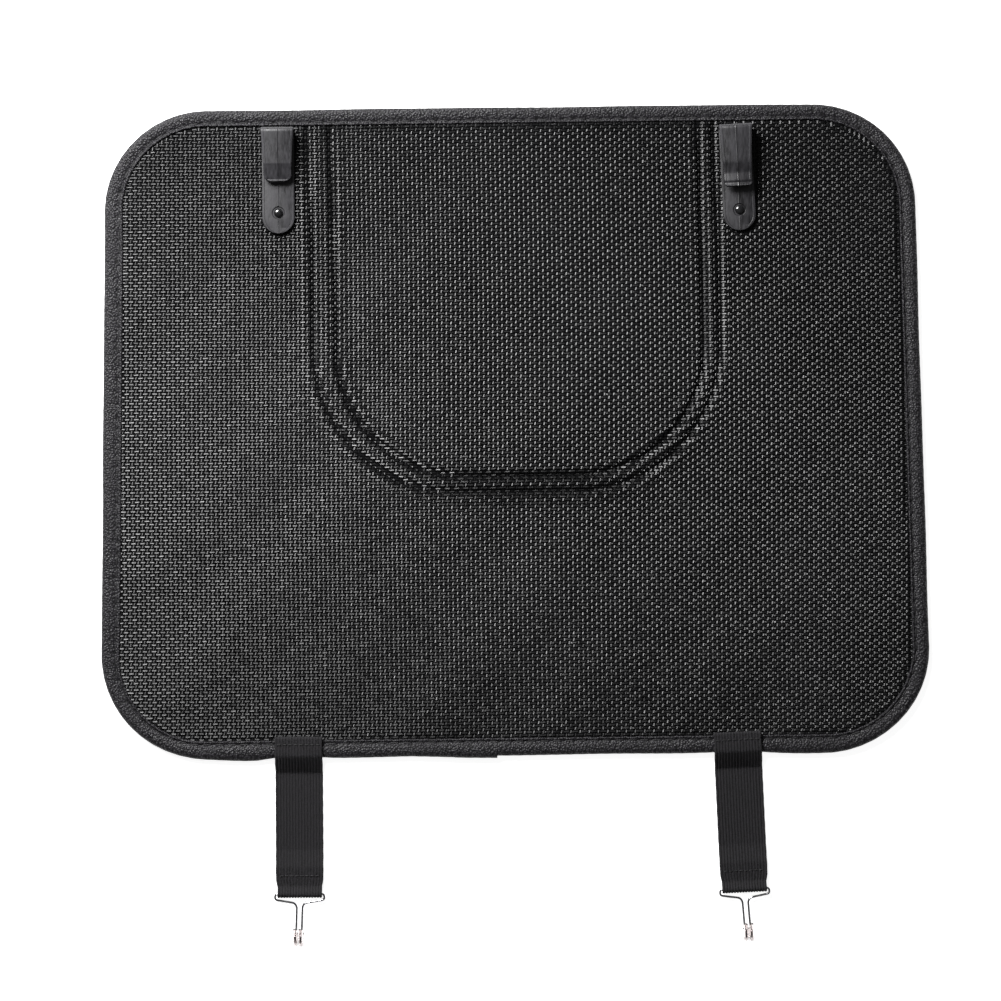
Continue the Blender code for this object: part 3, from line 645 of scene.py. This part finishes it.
def edge_sag(x):
    """How far the bottom edge bulges past a straight line, between and beside the straps."""
    sag = sum(depth * np.exp(-((x - at) / reach) ** 2) for at, depth, reach in EDGE_BULGES)
    return sag * (1 - np.exp(-((np.abs(x) - STRAP_X) / EDGE_HELD) ** 4))


def thread_arch():
    """Places along a stitch from -1 to 1, and its rise out of its holes, from 0 to 1."""
    share = np.linspace(-1, 1, THREAD_POINTS)
    return share, np.sqrt(np.clip(1 - share ** 4, 0.0, 1.0))


def edge_binding(mat, thread):
    """The tape round the rim, pulled down at its stitches."""
    seam, distance, spacing, count = stitch_line()
    phase = 2 * math.pi * distance[:-1] / spacing
    pull = 0.5 + 0.5 * np.cos(phase)
    puff = 0.5 - 0.5 * np.cos(phase)
    s = distance[:-1]
    waver = 0.35 * np.sin(s / 37.0) * np.sin(s / 61.0 + 1.0) + 0.12 * np.sin(s / 11.0)
    outer = mat_outline(0.0)
    on_bottom = outer[:, 1] < -MAT_HEIGHT / 2 + 0.1
    bottom = np.nonzero(on_bottom)[0]
    lap_end = bottom[np.argmin(np.abs(outer[bottom, 0] - LAP_X))]
    on_lap = on_bottom & (outer[:, 0] >= LAP_X - LAP_TAPER)
    on_lap[lap_end + 1: bottom[-1] + 1] = False
    taper = np.clip((outer[:, 0] - LAP_X + LAP_TAPER) / LAP_TAPER * 1.6, 0, 1)
    swell = np.where(on_lap, taper, 0.0)
    sagging = np.where(outer[:, 1] < -MAT_HEIGHT / 2 + 10.0, edge_sag(outer[:, 0]), 0.0)
    rings = []
    for inset, height, share, down, out in BINDING_SECTION:
        ring, inward = tape_ring(inset)
        on_top = 1.0 if height > 2.5 else 0.0
        drift = 0.0 if inset > 1.15 and height in (SLOT_TOP, SLOT_BOTTOM) else 0.6
        ring = ring + inward * (drift * waver * (inset < 5.0) - out * puff)[:, None]
        x, y = ring[:, 0], ring[:, 1] - share * (LAP_STEP * swell + sagging)
        x[lap_end], x[lap_end + 1] = LAP_X, LAP_X + 0.15
        layer = LAP_LAYER if inset < LAP_LAYER_INSET else 0.0
        z = height - down * pull + on_top * layer * swell * (height > SLOT_TOP)
        rings.append(np.stack((x, y, z), axis=1))
    binding = add_piece("bound_edge", loft(rings, joined=True), mat,
                        nodes=("edge_binding",))
    binding.data.set_sharp_from_angle(angle=TAPE_SHARP_ANGLE * DEGREE)
    threads = []
    _, arch = thread_arch()
    for k in range(count):
        middle = (k + 0.5) * spacing
        at = middle + np.linspace(-STITCH_HALF, STITCH_HALF, THREAD_POINTS)
        x = np.interp(at % distance[-1], distance, np.append(seam[:, 0], seam[0, 0]))
        y = np.interp(at % distance[-1], distance, np.append(seam[:, 1], seam[0, 1]))
        run = np.stack((x, y, STITCH_SEAT + THREAD_RISE * arch), axis=1)
        threads.append(thread_shape(run, 0.3, 0.2))
    add_piece("binding_stitches", merged(threads), thread)


def thread_shape(run, half_width, half_height, sides=8):
    """A short length of thread, thin at its ends where it goes into its holes."""
    along = np.gradient(run, axis=0)
    side = np.cross(along, UP)
    side /= np.linalg.norm(side, axis=1)[:, None]
    upward = np.cross(side, along)
    upward /= np.linalg.norm(upward, axis=1)[:, None]
    angles = np.arange(sides) * 2 * math.pi / sides
    share = np.linspace(-1, 1, len(run))
    taper = 0.45 + 0.55 * np.sqrt(np.clip(1 - share ** 6, 0.0, 1.0))
    wide = (half_width * taper)[:, None, None] * np.cos(angles)[None, :, None]
    high = (half_height * taper)[:, None, None] * np.sin(angles)[None, :, None]
    return loft(run[:, None, :] + wide * side[:, None, :] + high * upward[:, None, :])


def lengths_along(path):
    """Distance along the path to each of its points."""
    lengths = [0.0]
    for before, after in zip(path, path[1:]):
        lengths.append(lengths[-1] + (after - before).length)
    return lengths


def flat_ribbon(path, section, to_mat):
    """Loft a strip along a path in the YZ plane; the section gives (x, height) by distance."""
    lengths = lengths_along(path)
    rings = []
    for i, point in enumerate(path):
        along = (path[min(i + 1, len(path) - 1)] - path[max(i - 1, 0)]).normalized()
        ring = [to_mat @ Vector((x, point.x - along.y * h, point.y + along.x * h))
                for x, h in section(lengths[i])]
        rings.append([tuple(p) for p in ring])
    return loft(rings)


# Spring clips

CLIP_UNDERSIDE = 4.6
CLIP_WIDTH = 17.0
CLIP_THICKNESS = 1.6
CLIP_BELOW_RIVET = 10.8
CLIP_ABOVE_RIVET = 44.6
CLIP_MOUTH = 5.9
CLIP_BEND = 1.6
LEAF_WIDTH = 14.6
RIVET_SHANK = 1.5
RIVET_DOME = 2.3
RIVET_DOME_HEIGHT = 1.5
RIVET_HEAD = 4.5
RIVET_HEAD_THICKNESS = 0.6
RIVET_RECESS = 3.25
RIVET_RECESS_DEPTH = 0.5
CLIP_SHARP_ANGLE = 22.0
# where each clip's rivet is, how far the clip leans and how round its lip's corners are
CLIP_PLACES = {"left": (-121.5, 115.8), "right": (120.3, 114.7)}
CLIP_TILTS = {"left": -0.2, "right": 2.6}
LEAF_CORNERS = {"left": 4.2, "right": 1.8}
LEAF_BENDS = {
    # distance from the top of the clip, height over the strip, and radius of each bend
    "left": ((19.0, 4.5, 1.6), (27.4, 2.1, 0.7), (28.6, 2.8, 0.0)),
    "right": ((20.2, 4.9, 6.0), (25.4, 3.6, 5.0), (29.6, 4.1, 0.8), (30.7, 3.7, 0.6),
              (32.6, 4.2, 0.0)),
}


def clip_path(side):
    """Side view of the clip's middle line as (y, z), from its riveted end to its lip."""
    half = CLIP_THICKNESS / 2
    top = CLIP_ABOVE_RIVET - half
    height = CLIP_THICKNESS + CLIP_MOUTH + half
    corners = [Vector((-CLIP_BELOW_RIVET, half)), Vector((top, half)), Vector((top, height))]
    radii = [CLIP_BEND, CLIP_BEND]
    for from_top, over_strip, radius in LEAF_BENDS[side]:
        corners.append(Vector((CLIP_ABOVE_RIVET - from_top, CLIP_THICKNESS + over_strip + half)))
        radii.append(radius)
    return rounded_path(corners, radii[:-1])


def clip_section(half_width):
    """Strip section with eased edges, a fine line down each face and one beside each edge."""
    half = CLIP_THICKNESS / 2
    edge = min(0.32, half_width / 2)
    line = min(0.42, half_width / 4)
    ledge = min(1.3, half_width / 3)
    face = [(half_width, half - edge), (half_width - edge * 0.3, half - edge * 0.3),
            (half_width - edge, half), (half_width - ledge, half + 0.03),
            (half_width - ledge - 0.18, half - 0.07), (half_width - ledge - 0.4, half),
            (line, half), (line * 0.5, half + 0.12), (0.0, half + 0.16),
            (-line * 0.5, half + 0.12), (-line, half)]
    mirror = [(-x, h) for x, h in reversed(face[:6])]
    upper = face + mirror
    return upper + [(-x, -h) for x, h in upper]


def clip_half_width(distance, length, side):
    """Round at the riveted end, narrower along the leaf, and with round corners at its lip."""
    radius = CLIP_WIDTH / 2
    if distance < radius:
        return math.sqrt(max(0.0, radius ** 2 - (radius - distance) ** 2))
    leaf_start = CLIP_BELOW_RIVET + CLIP_ABOVE_RIVET + CLIP_MOUTH
    share = min(1.0, max(0.0, (distance - leaf_start) / LEAF_BENDS[side][0][0]))
    half = radius + (LEAF_WIDTH / 2 - radius) * share
    corner = LEAF_CORNERS[side]
    left = corner - (length - distance)
    if left > 0.0:
        half -= corner - math.sqrt(max(0.0, corner ** 2 - left ** 2))
    return half


def with_stations(path, extra):
    """The path with more points, at the given distances along it, and its whole length."""
    lengths = lengths_along(path)
    wanted = sorted(set(lengths) | {d for d in extra if 0.0 < d < lengths[-1]})
    points = []
    last = -1.0
    for distance in wanted:
        if distance - last < 0.02 and distance != lengths[-1]:
            continue
        i = max(k for k in range(len(path) - 1) if lengths[k] <= distance + 1e-9)
        share = (distance - lengths[i]) / (lengths[i + 1] - lengths[i])
        points.append(path[i].lerp(path[i + 1], share))
        last = distance
    return points, lengths[-1]


def bored(ob, cutters):
    """Cut round holes into a piece for good, and throw the cutters away."""
    for cutter in cutters:
        modifier = ob.modifiers.new("bore", "BOOLEAN")
        modifier.operation = "DIFFERENCE"
        modifier.object = cutter
        modifier.solver = "EXACT"
    bpy.context.view_layer.update()
    drawn = bpy.context.evaluated_depsgraph_get()
    mesh = bpy.data.meshes.new_from_object(ob.evaluated_get(drawn))
    ob.modifiers.clear()
    ob.data = mesh
    for cutter in cutters:
        bpy.data.objects.remove(cutter, do_unlink=True)
    mesh.set_sharp_from_angle(angle=CLIP_SHARP_ANGLE * DEGREE)


def turned(x, y, profile, steps=40):
    """A turned shape; the profile gives (radius, height) from the bottom up."""
    angles = np.arange(steps) * 2 * math.pi / steps
    return loft([np.stack((x + radius * np.cos(angles), y + radius * np.sin(angles),
                           np.full(steps, z)), axis=1) for radius, z in profile])


def round_cutter(x, y, profile):
    """A turned piece that only cuts others."""
    points, faces = turned(x, y, profile)
    if signed_volume(points - points.mean(axis=0), faces) < 0.0:
        faces = [face[::-1] for face in faces]
    mesh = bpy.data.meshes.new("cutter")
    mesh.from_pydata(placed(points).tolist(), [], faces)
    ob = bpy.data.objects.new("cutter", mesh)
    bpy.context.scene.collection.objects.link(ob)
    return ob


def spring_clip(side, mat):
    """A strip bent back over itself, with a bored and recessed seat for its rivet."""
    x, y = CLIP_PLACES[side]
    corner = LEAF_CORNERS[side]
    path = clip_path(side)
    length = lengths_along(path)[-1]
    radius = CLIP_WIDTH / 2
    first = radius * (1 - math.cos(7 * DEGREE))
    extra = [radius * (1 - math.cos(a * DEGREE)) for a in range(7, 91, 6)]
    extra += [length - corner * (1 - math.sin(a * DEGREE)) for a in range(0, 85, 7)]
    extra += np.arange(0.0, length, 1.5).tolist()
    path, length = with_stations(path, extra)

    def section(distance):
        inside = min(max(distance, first), length - corner * (1 - math.sin(84 * DEGREE)))
        return clip_section(clip_half_width(inside, length, side))

    to_mat = (Matrix.Translation((x, y, CLIP_UNDERSIDE))
              @ Matrix.Rotation(CLIP_TILTS[side] * DEGREE, 4, "Z"))
    clip = add_piece(f"{side}_spring_clip", flat_ribbon(path, section, to_mat), mat,
                     nodes=(f"{side}_clip",))
    top = CLIP_UNDERSIDE + CLIP_THICKNESS
    shank = RIVET_SHANK + 0.3
    bored(clip, [round_cutter(x, y, ((shank, 3.0), (shank, 7.0))),
                 round_cutter(x, y, ((RIVET_RECESS - 0.25, top - RIVET_RECESS_DEPTH),
                                     (RIVET_RECESS - 0.15, top - 0.25),
                                     (RIVET_RECESS + 0.2, top + 0.02),
                                     (RIVET_RECESS + 0.3, top + 0.5)))])


def domed_rivet(side, mat):
    """A turned profile: broad flat head on the front, shank, and a small dome on the clip."""
    base = PANEL_FRONT - SEAT_GAP - RIVET_HEAD_THICKNESS
    seat = CLIP_UNDERSIDE + CLIP_THICKNESS - RIVET_RECESS_DEPTH + SEAT_GAP
    dome = [(RIVET_DOME * math.cos(a * DEGREE), seat + 0.25 + (RIVET_DOME_HEIGHT - 0.25)
             * math.sin(a * DEGREE)) for a in range(0, 86, 7)]
    profile = [(0.25, base), (RIVET_HEAD - 0.5, base), (RIVET_HEAD - 0.12, base + 0.12),
               (RIVET_HEAD, base + 0.35), (RIVET_HEAD - 0.1, base + RIVET_HEAD_THICKNESS),
               (RIVET_SHANK, 0.8), (RIVET_SHANK, seat), (RIVET_DOME - 0.1, seat)] + dome
    add_piece(f"{side}_domed_rivet", turned(*CLIP_PLACES[side], profile), mat,
              nodes=(f"{side}_rivet",))


# Elastic straps

# where the straps hold the bottom edge of the mat, and where each one lies and leans
STRAP_X = 115.2
STRAP_MIDDLES = {"left": -114.3, "right": 116.4}
STRAP_TILTS = {"left": -0.36, "right": 2.1}
STRAP_WIDTH = 25.0
STRAP_THICKNESS = 1.2
STRAP_RIBS = 16
STRAP_RIB_DEPTH = 0.42
STRAP_OVER_MAT = 10.9
STRAP_REACH = 74.0
STRAP_DROP_ANGLE = 30.0 * DEGREE
STRAP_EDGE_SLACK = 0.9
STRAP_FLOOR_BEND = 4.0
HEM_WIDTH = 23.4
HEM_RETURN = 12.0
HEM_RAMP = 4.0
HEM_SLOPE = 9.0
SEAM_Y = 6.75
SEAM_HALF = 11.6
HEM_SEAM_Y = 9.5
HEM_SEAM_HALF = 10.6
SEAM_STITCHES = 8
WIRE = 0.6
HEM_LOOP = WIRE + SEAT_GAP + STRAP_THICKNESS / 2
HEM_LOOP_HEIGHT = STRAP_THICKNESS / 2 + HEM_LOOP
HEM_LOOP_Y = -STRAP_REACH + HEM_LOOP + STRAP_THICKNESS / 2


def strap_path():
    """Side view of the strap's middle line, from the folded end under the hem to its top end."""
    half = STRAP_THICKNESS / 2
    above = BINDING_TOP + SEAT_GAP + half
    crown = BINDING_TOP / 2
    bend = crown + SEAT_GAP + half
    shoulder = crown - STRAP_EDGE_SLACK - bend * math.tan(STRAP_DROP_ANGLE / 2)
    foot = shoulder - (above - half) / math.tan(STRAP_DROP_ANGLE)
    fold_end = HEM_LOOP_Y + HEM_RETURN
    doubled = half + STRAP_THICKNESS + SEAT_GAP
    loop_edge = HEM_LOOP_Y - HEM_LOOP
    loop_top = HEM_LOOP_HEIGHT + HEM_LOOP
    corners = [Vector((fold_end, half)), Vector((loop_edge, half)), Vector((loop_edge, loop_top)),
               Vector((HEM_LOOP_Y, loop_top)), Vector((HEM_LOOP_Y + HEM_RAMP, doubled)),
               Vector((fold_end + HEM_RAMP / 2, doubled)),
               Vector((fold_end + HEM_RAMP / 2 + HEM_SLOPE, half)),
               Vector((foot, half)), Vector((shoulder, above)), Vector((STRAP_OVER_MAT, above))]
    radii = (HEM_LOOP, HEM_LOOP, 0.0, HEM_RAMP, HEM_RAMP, HEM_RAMP, STRAP_FLOOR_BEND, bend)
    return rounded_path(corners, radii)


def strap_section(width):
    """Rounded ribs on the face, fainter ones on the back."""
    half = STRAP_THICKNESS / 2
    pitch = width / STRAP_RIBS
    face, back = [], []
    for i in range(STRAP_RIBS):
        left = -width / 2 + i * pitch
        for share, lift in ((0.0, 0.0), (0.2, 0.72), (0.5, 1.0), (0.8, 0.72)):
            face.append((left + share * pitch, half - STRAP_RIB_DEPTH * (1 - lift)))
        for share, lift in ((0.0, 0.0), (0.5, 1.0)):
            back.append((left + share * pitch, -half + 0.1 * (1 - lift)))
    face.append((width / 2, half - STRAP_RIB_DEPTH))
    back.append((width / 2, -half + 0.1))
    return face + back[::-1]


def strap_frame(side):
    """From the strap's own axes, at the mat's bottom edge, to the mat's."""
    return (Matrix.Translation((STRAP_MIDDLES[side], -MAT_HEIGHT / 2, 0.0))
            @ Matrix.Rotation(STRAP_TILTS[side] * DEGREE, 4, "Z"))


def elastic_strap(side, mat, thread):
    """Ribbed elastic sewn over the binding, and hemmed round the hook's bar."""
    path = resampled(strap_path(), 1.3)
    loop_end = HEM_RETURN + math.pi * HEM_LOOP
    full_again = loop_end + 2 * HEM_RAMP

    def section(distance):
        folded = min(1.0, distance / (HEM_RETURN / 2))
        pinched = min(1.0, max(0.0, (full_again - distance) / HEM_RAMP))
        width = STRAP_WIDTH + (HEM_WIDTH - STRAP_WIDTH) * min(folded, pinched)
        return strap_section(width + 0.12 * math.sin(distance * 0.9))

    frame_here = strap_frame(side)
    strap = add_piece(f"{side}_ribbed_strap", flat_ribbon(path, section, frame_here), mat,
                      nodes=(f"{side}_strap",))
    rows = []
    above = BINDING_TOP + SEAT_GAP + STRAP_THICKNESS
    over_hem = 2 * STRAP_THICKNESS + SEAT_GAP
    share, arch = thread_arch()
    for y, z, half in ((SEAM_Y, above, SEAM_HALF),
                       (HEM_LOOP_Y + HEM_SEAM_Y, over_hem, HEM_SEAM_HALF)):
        holes = np.linspace(-half, half, SEAM_STITCHES + 1)
        for left, right in zip(holes, holes[1:]):
            x = (left + right) / 2 + (right - left) * 0.44 * share
            run = [frame_here @ Vector((a, y, z - 0.32 + THREAD_RISE * b)) for a, b in zip(x, arch)]
            rows.append(thread_shape(np.array([tuple(p) for p in run]), 0.28, 0.18))
    stitches = add_piece(f"{side}_strap_stitches", merged(rows), thread)


# Wire hooks and their clear sleeves

SIGNS = {"left": -1, "right": 1}
HOOK_HALF_WIDTH = 13.0
HOOK_CORNER = 1.5
HOOK_ARM_DROP = 3.1
HOOK_NECK_DROP = 5.0
HOOK_NECK_BEND = 3.0
HOOK_LEG_SPACING = 1.5
HOOK_LENGTH = 26.0
HOOK_J_BEND = 3.6
HOOK_TIP = 5.6
HOOK_LEG_LEAN = 0.8
SLEEVE_BORE = WIRE + 0.25
SLEEVE_OUTSIDE = SLEEVE_BORE + 0.35
SLEEVE_PAST_TIP = 3.0
SLEEVE_ON_LEG = 1.8


def hook_frame(side):
    """From the hook's own axes, along its bar in the hem, to the mat's."""
    lean = math.asin((HEM_LOOP_HEIGHT - SLEEVE_OUTSIDE) / (HOOK_LENGTH - HOOK_J_BEND))
    bar = Matrix.Translation((0.0, HEM_LOOP_Y, HEM_LOOP_HEIGHT))
    return strap_frame(side) @ bar @ Matrix.Rotation(lean, 4, "X")


def wire_corners(side, leg_side):
    """Half of one hook's bent wire, from the tip of its J to the middle of its bar."""
    sign = SIGNS[leg_side]
    leg = sign * HOOK_LEG_SPACING
    foot = leg + SIGNS[side] * HOOK_LEG_LEAN
    across = sign * HOOK_HALF_WIDTH
    opening = 2 * HOOK_J_BEND
    corners = [Vector((foot, HOOK_TIP - HOOK_LENGTH, opening)),
               Vector((foot, -HOOK_LENGTH, opening)), Vector((foot, -HOOK_LENGTH, 0.0)),
               Vector((leg, -HOOK_NECK_DROP, 0.0)), Vector((across, -HOOK_ARM_DROP, 0.0)),
               Vector((across, 0.0, 0.0)), Vector((0.0, 0.0, 0.0))]
    return corners, [HOOK_J_BEND, HOOK_J_BEND, HOOK_NECK_BEND, HOOK_CORNER, HOOK_CORNER]


def tube_rings(path, radius, sides, to_mat):
    """Rings of a round tube along a path, carried round its bends without twisting."""
    points = [to_mat @ p for p in path]
    normal = None
    rings = []
    angles = [2 * math.pi * i / sides for i in range(sides)]
    for i, point in enumerate(points):
        along = (points[min(i + 1, len(points) - 1)] - points[max(i - 1, 0)]).normalized()
        if normal is None:
            normal = along.orthogonal().normalized()
        normal = (normal - along * normal.dot(along)).normalized()
        side = along.cross(normal)
        size = radius(i / (len(points) - 1)) if callable(radius) else radius
        rings.append([tuple(point + (normal * math.cos(a) + side * math.sin(a)) * size)
                      for a in angles])
    return rings


def wire_hook(side, mat):
    """One wire, bent alike to both sides of the middle of its bar."""
    left, radii = wire_corners(side, "left")
    right, _ = wire_corners(side, "right")
    corners = left[:-1] + list(reversed(right[:-1]))
    path = resampled(rounded_path(corners, radii + radii[::-1]), 2.0)
    rings = tube_rings(path, WIRE, 16, hook_frame(side))
    add_piece(f"{side}_bent_wire", loft(rings), mat,
              body=f"{side}_hook", nodes=(f"{side}_wire_hook",))


def tip_sleeve(side, leg_side, mat):
    """A clear tube over one of the hook's two tips."""
    corners, radii = wire_corners(side, leg_side)
    start = corners[0] + Vector((0.0, SLEEVE_PAST_TIP, 0.0))
    leg = (corners[3] - corners[2]).normalized()
    end = corners[2] + leg * (HOOK_J_BEND + SLEEVE_ON_LEG)
    path = resampled(rounded_path([start, corners[1], corners[2], end], radii[:2]), 0.8)
    place = hook_frame(side)
    outer = tube_rings(path, lambda t: SLEEVE_OUTSIDE - 0.02 * math.cos(40 * t), 18, place)
    bore = tube_rings(path, SLEEVE_BORE, 18, place)
    add_piece(f"{side}_hook_{leg_side}_tip", loft(outer + bore[::-1], joined=True), mat,
              body=f"{side}_hook", nodes=(f"{side}_hook_{leg_side}_sleeve",))


# Camera, light and floor

VIEW_WIDTH = 0.5255
CAMERA_HEIGHT = 1.9
FACE_HEIGHT = 0.004
SENSOR_WIDTH = 36.0
CAMERA_ROLL = -0.68
FLOOR_HALF = 6.0
FLOOR_Z = -0.0002


def photo_camera():
    """Straight down on the mat, through a long lens."""
    aim = placed((-6.8, -36.4, 0.0))
    camera = bpy.data.cameras.new("photo_camera")
    camera.sensor_width = SENSOR_WIDTH
    camera.lens = SENSOR_WIDTH * (CAMERA_HEIGHT - FACE_HEIGHT) / VIEW_WIDTH
    camera.clip_start = 0.05
    camera.clip_end = 30.0
    ob = bpy.data.objects.new("photo_camera", camera)
    ob.location = (aim[0], aim[1], CAMERA_HEIGHT)
    ob.rotation_euler = (0.0, 0.0, CAMERA_ROLL * DEGREE)
    bpy.context.scene.collection.objects.link(ob)
    bpy.context.scene.camera = ob


def area_light(name, at, aim, size, power):
    """A round lamp at one place, turned to another."""
    lamp = bpy.data.lights.new(name, "AREA")
    lamp.shape = "DISK"
    lamp.size = size
    lamp.energy = power
    ob = bpy.data.objects.new(name, lamp)
    ob.location = placed(at)
    towards = Vector(placed(aim) - placed(at))
    ob.rotation_euler = towards.to_track_quat("-Z", "Y").to_euler()
    bpy.context.scene.collection.objects.link(ob)


def seen_by_eye(tree):
    """1 for rays that look at a thing straight, in a mirror or through clear tube."""
    path = tree.nodes.new("ShaderNodeLightPath")
    total = path.outputs["Is Camera Ray"]
    for output in ("Is Glossy Ray", "Is Transmission Ray"):
        add = tree.nodes.new("ShaderNodeMath")
        add.operation = "ADD"
        add.use_clamp = True
        tree.links.new(total, add.inputs[0])
        tree.links.new(path.outputs[output], add.inputs[1])
        total = add.outputs["Value"]
    return total


def pale_floor():
    """A floor that takes soft shadows and glows to the eye."""
    mat = bpy.data.materials.new("pale_floor")
    mat.use_nodes = True
    tree = mat.node_tree
    shader = tree.nodes["Principled BSDF"]
    shader.inputs["Base Color"].default_value = (0.86, 0.86, 0.86, 1.0)
    shader.inputs["Roughness"].default_value = 0.9
    shader.inputs["Specular IOR Level"].default_value = 0.1
    shader.inputs["Emission Color"].default_value = (1.0, 1.0, 1.0, 1.0)
    scale = tree.nodes.new("ShaderNodeMath")
    scale.operation = "MULTIPLY"
    scale.inputs[1].default_value = 0.88
    tree.links.new(seen_by_eye(tree), scale.inputs[0])
    tree.links.new(scale.outputs["Value"], shader.inputs["Emission Strength"])
    mesh = bpy.data.meshes.new("floor")
    corners = ((-FLOOR_HALF, -FLOOR_HALF), (FLOOR_HALF, -FLOOR_HALF), (FLOOR_HALF, FLOOR_HALF),
               (-FLOOR_HALF, FLOOR_HALF))
    mesh.from_pydata([(x, y, FLOOR_Z) for x, y in corners], [], [(0, 1, 2, 3)])
    mesh.materials.append(mat)
    floor = bpy.data.objects.new("floor", mesh)
    bpy.context.scene.collection.objects.link(floor)


def studio():
    """White behind the object, a soft glow that is brightest overhead, and two lamps."""
    world = bpy.data.worlds.new("studio")
    world.use_nodes = True
    tree = world.node_tree
    background = tree.nodes["Background"]
    background.inputs["Color"].default_value = (1.0, 1.0, 1.0, 1.0)
    space = tree.nodes.new("ShaderNodeTexCoord")
    split = tree.nodes.new("ShaderNodeSeparateXYZ")
    tree.links.new(space.outputs["Generated"], split.inputs["Vector"])
    by_height = tree.nodes.new("ShaderNodeMapRange")
    for socket, number in (("From Min", 0.2), ("From Max", 0.95), ("To Min", 0.05),
                           ("To Max", 0.14)):
        by_height.inputs[socket].default_value = number
    tree.links.new(split.outputs["Z"], by_height.inputs["Value"])
    path = tree.nodes.new("ShaderNodeLightPath")
    mix = tree.nodes.new("ShaderNodeMix")
    tree.links.new(path.outputs["Is Camera Ray"], mix.inputs["Factor"])
    tree.links.new(by_height.outputs["Result"], mix.inputs["A"])
    mix.inputs["B"].default_value = 1.0
    tree.links.new(mix.outputs["Result"], background.inputs["Strength"])
    bpy.context.scene.world = world
    bpy.context.scene.view_settings.view_transform = "Standard"
    area_light("key", (-380, 620, 640), (20, 0, 0), 0.42, 17.0)
    area_light("second", (-660, 540, 700), (-60, 0, 0), 0.35, 6.4)


photo_camera()
studio()
pale_floor()
yarn = yarn_finish()
thread = thread_finish("black_thread", (0.004, 0.004, 0.0045), (0.016, 0.015, 0.017))
strap_thread = thread_finish("strap_thread", (0.002, 0.002, 0.0022), (0.007, 0.0065, 0.0075))
elastic = elastic_finish()
plastic = plastic_finish()
rivet = rivet_finish()
chrome = chrome_finish()
vinyl = vinyl_finish()
woven_sheet(backing_finish())
weave(yarn)
edge_binding(binding_finish(), thread)
for side in ("left", "right"):
    spring_clip(side, plastic)
    domed_rivet(side, rivet)
    elastic_strap(side, elastic, strap_thread)
    wire_hook(side, chrome)
    for leg_side in ("left", "right"):
        tip_sleeve(side, leg_side, vinyl)

bpy.context.view_layer.update()
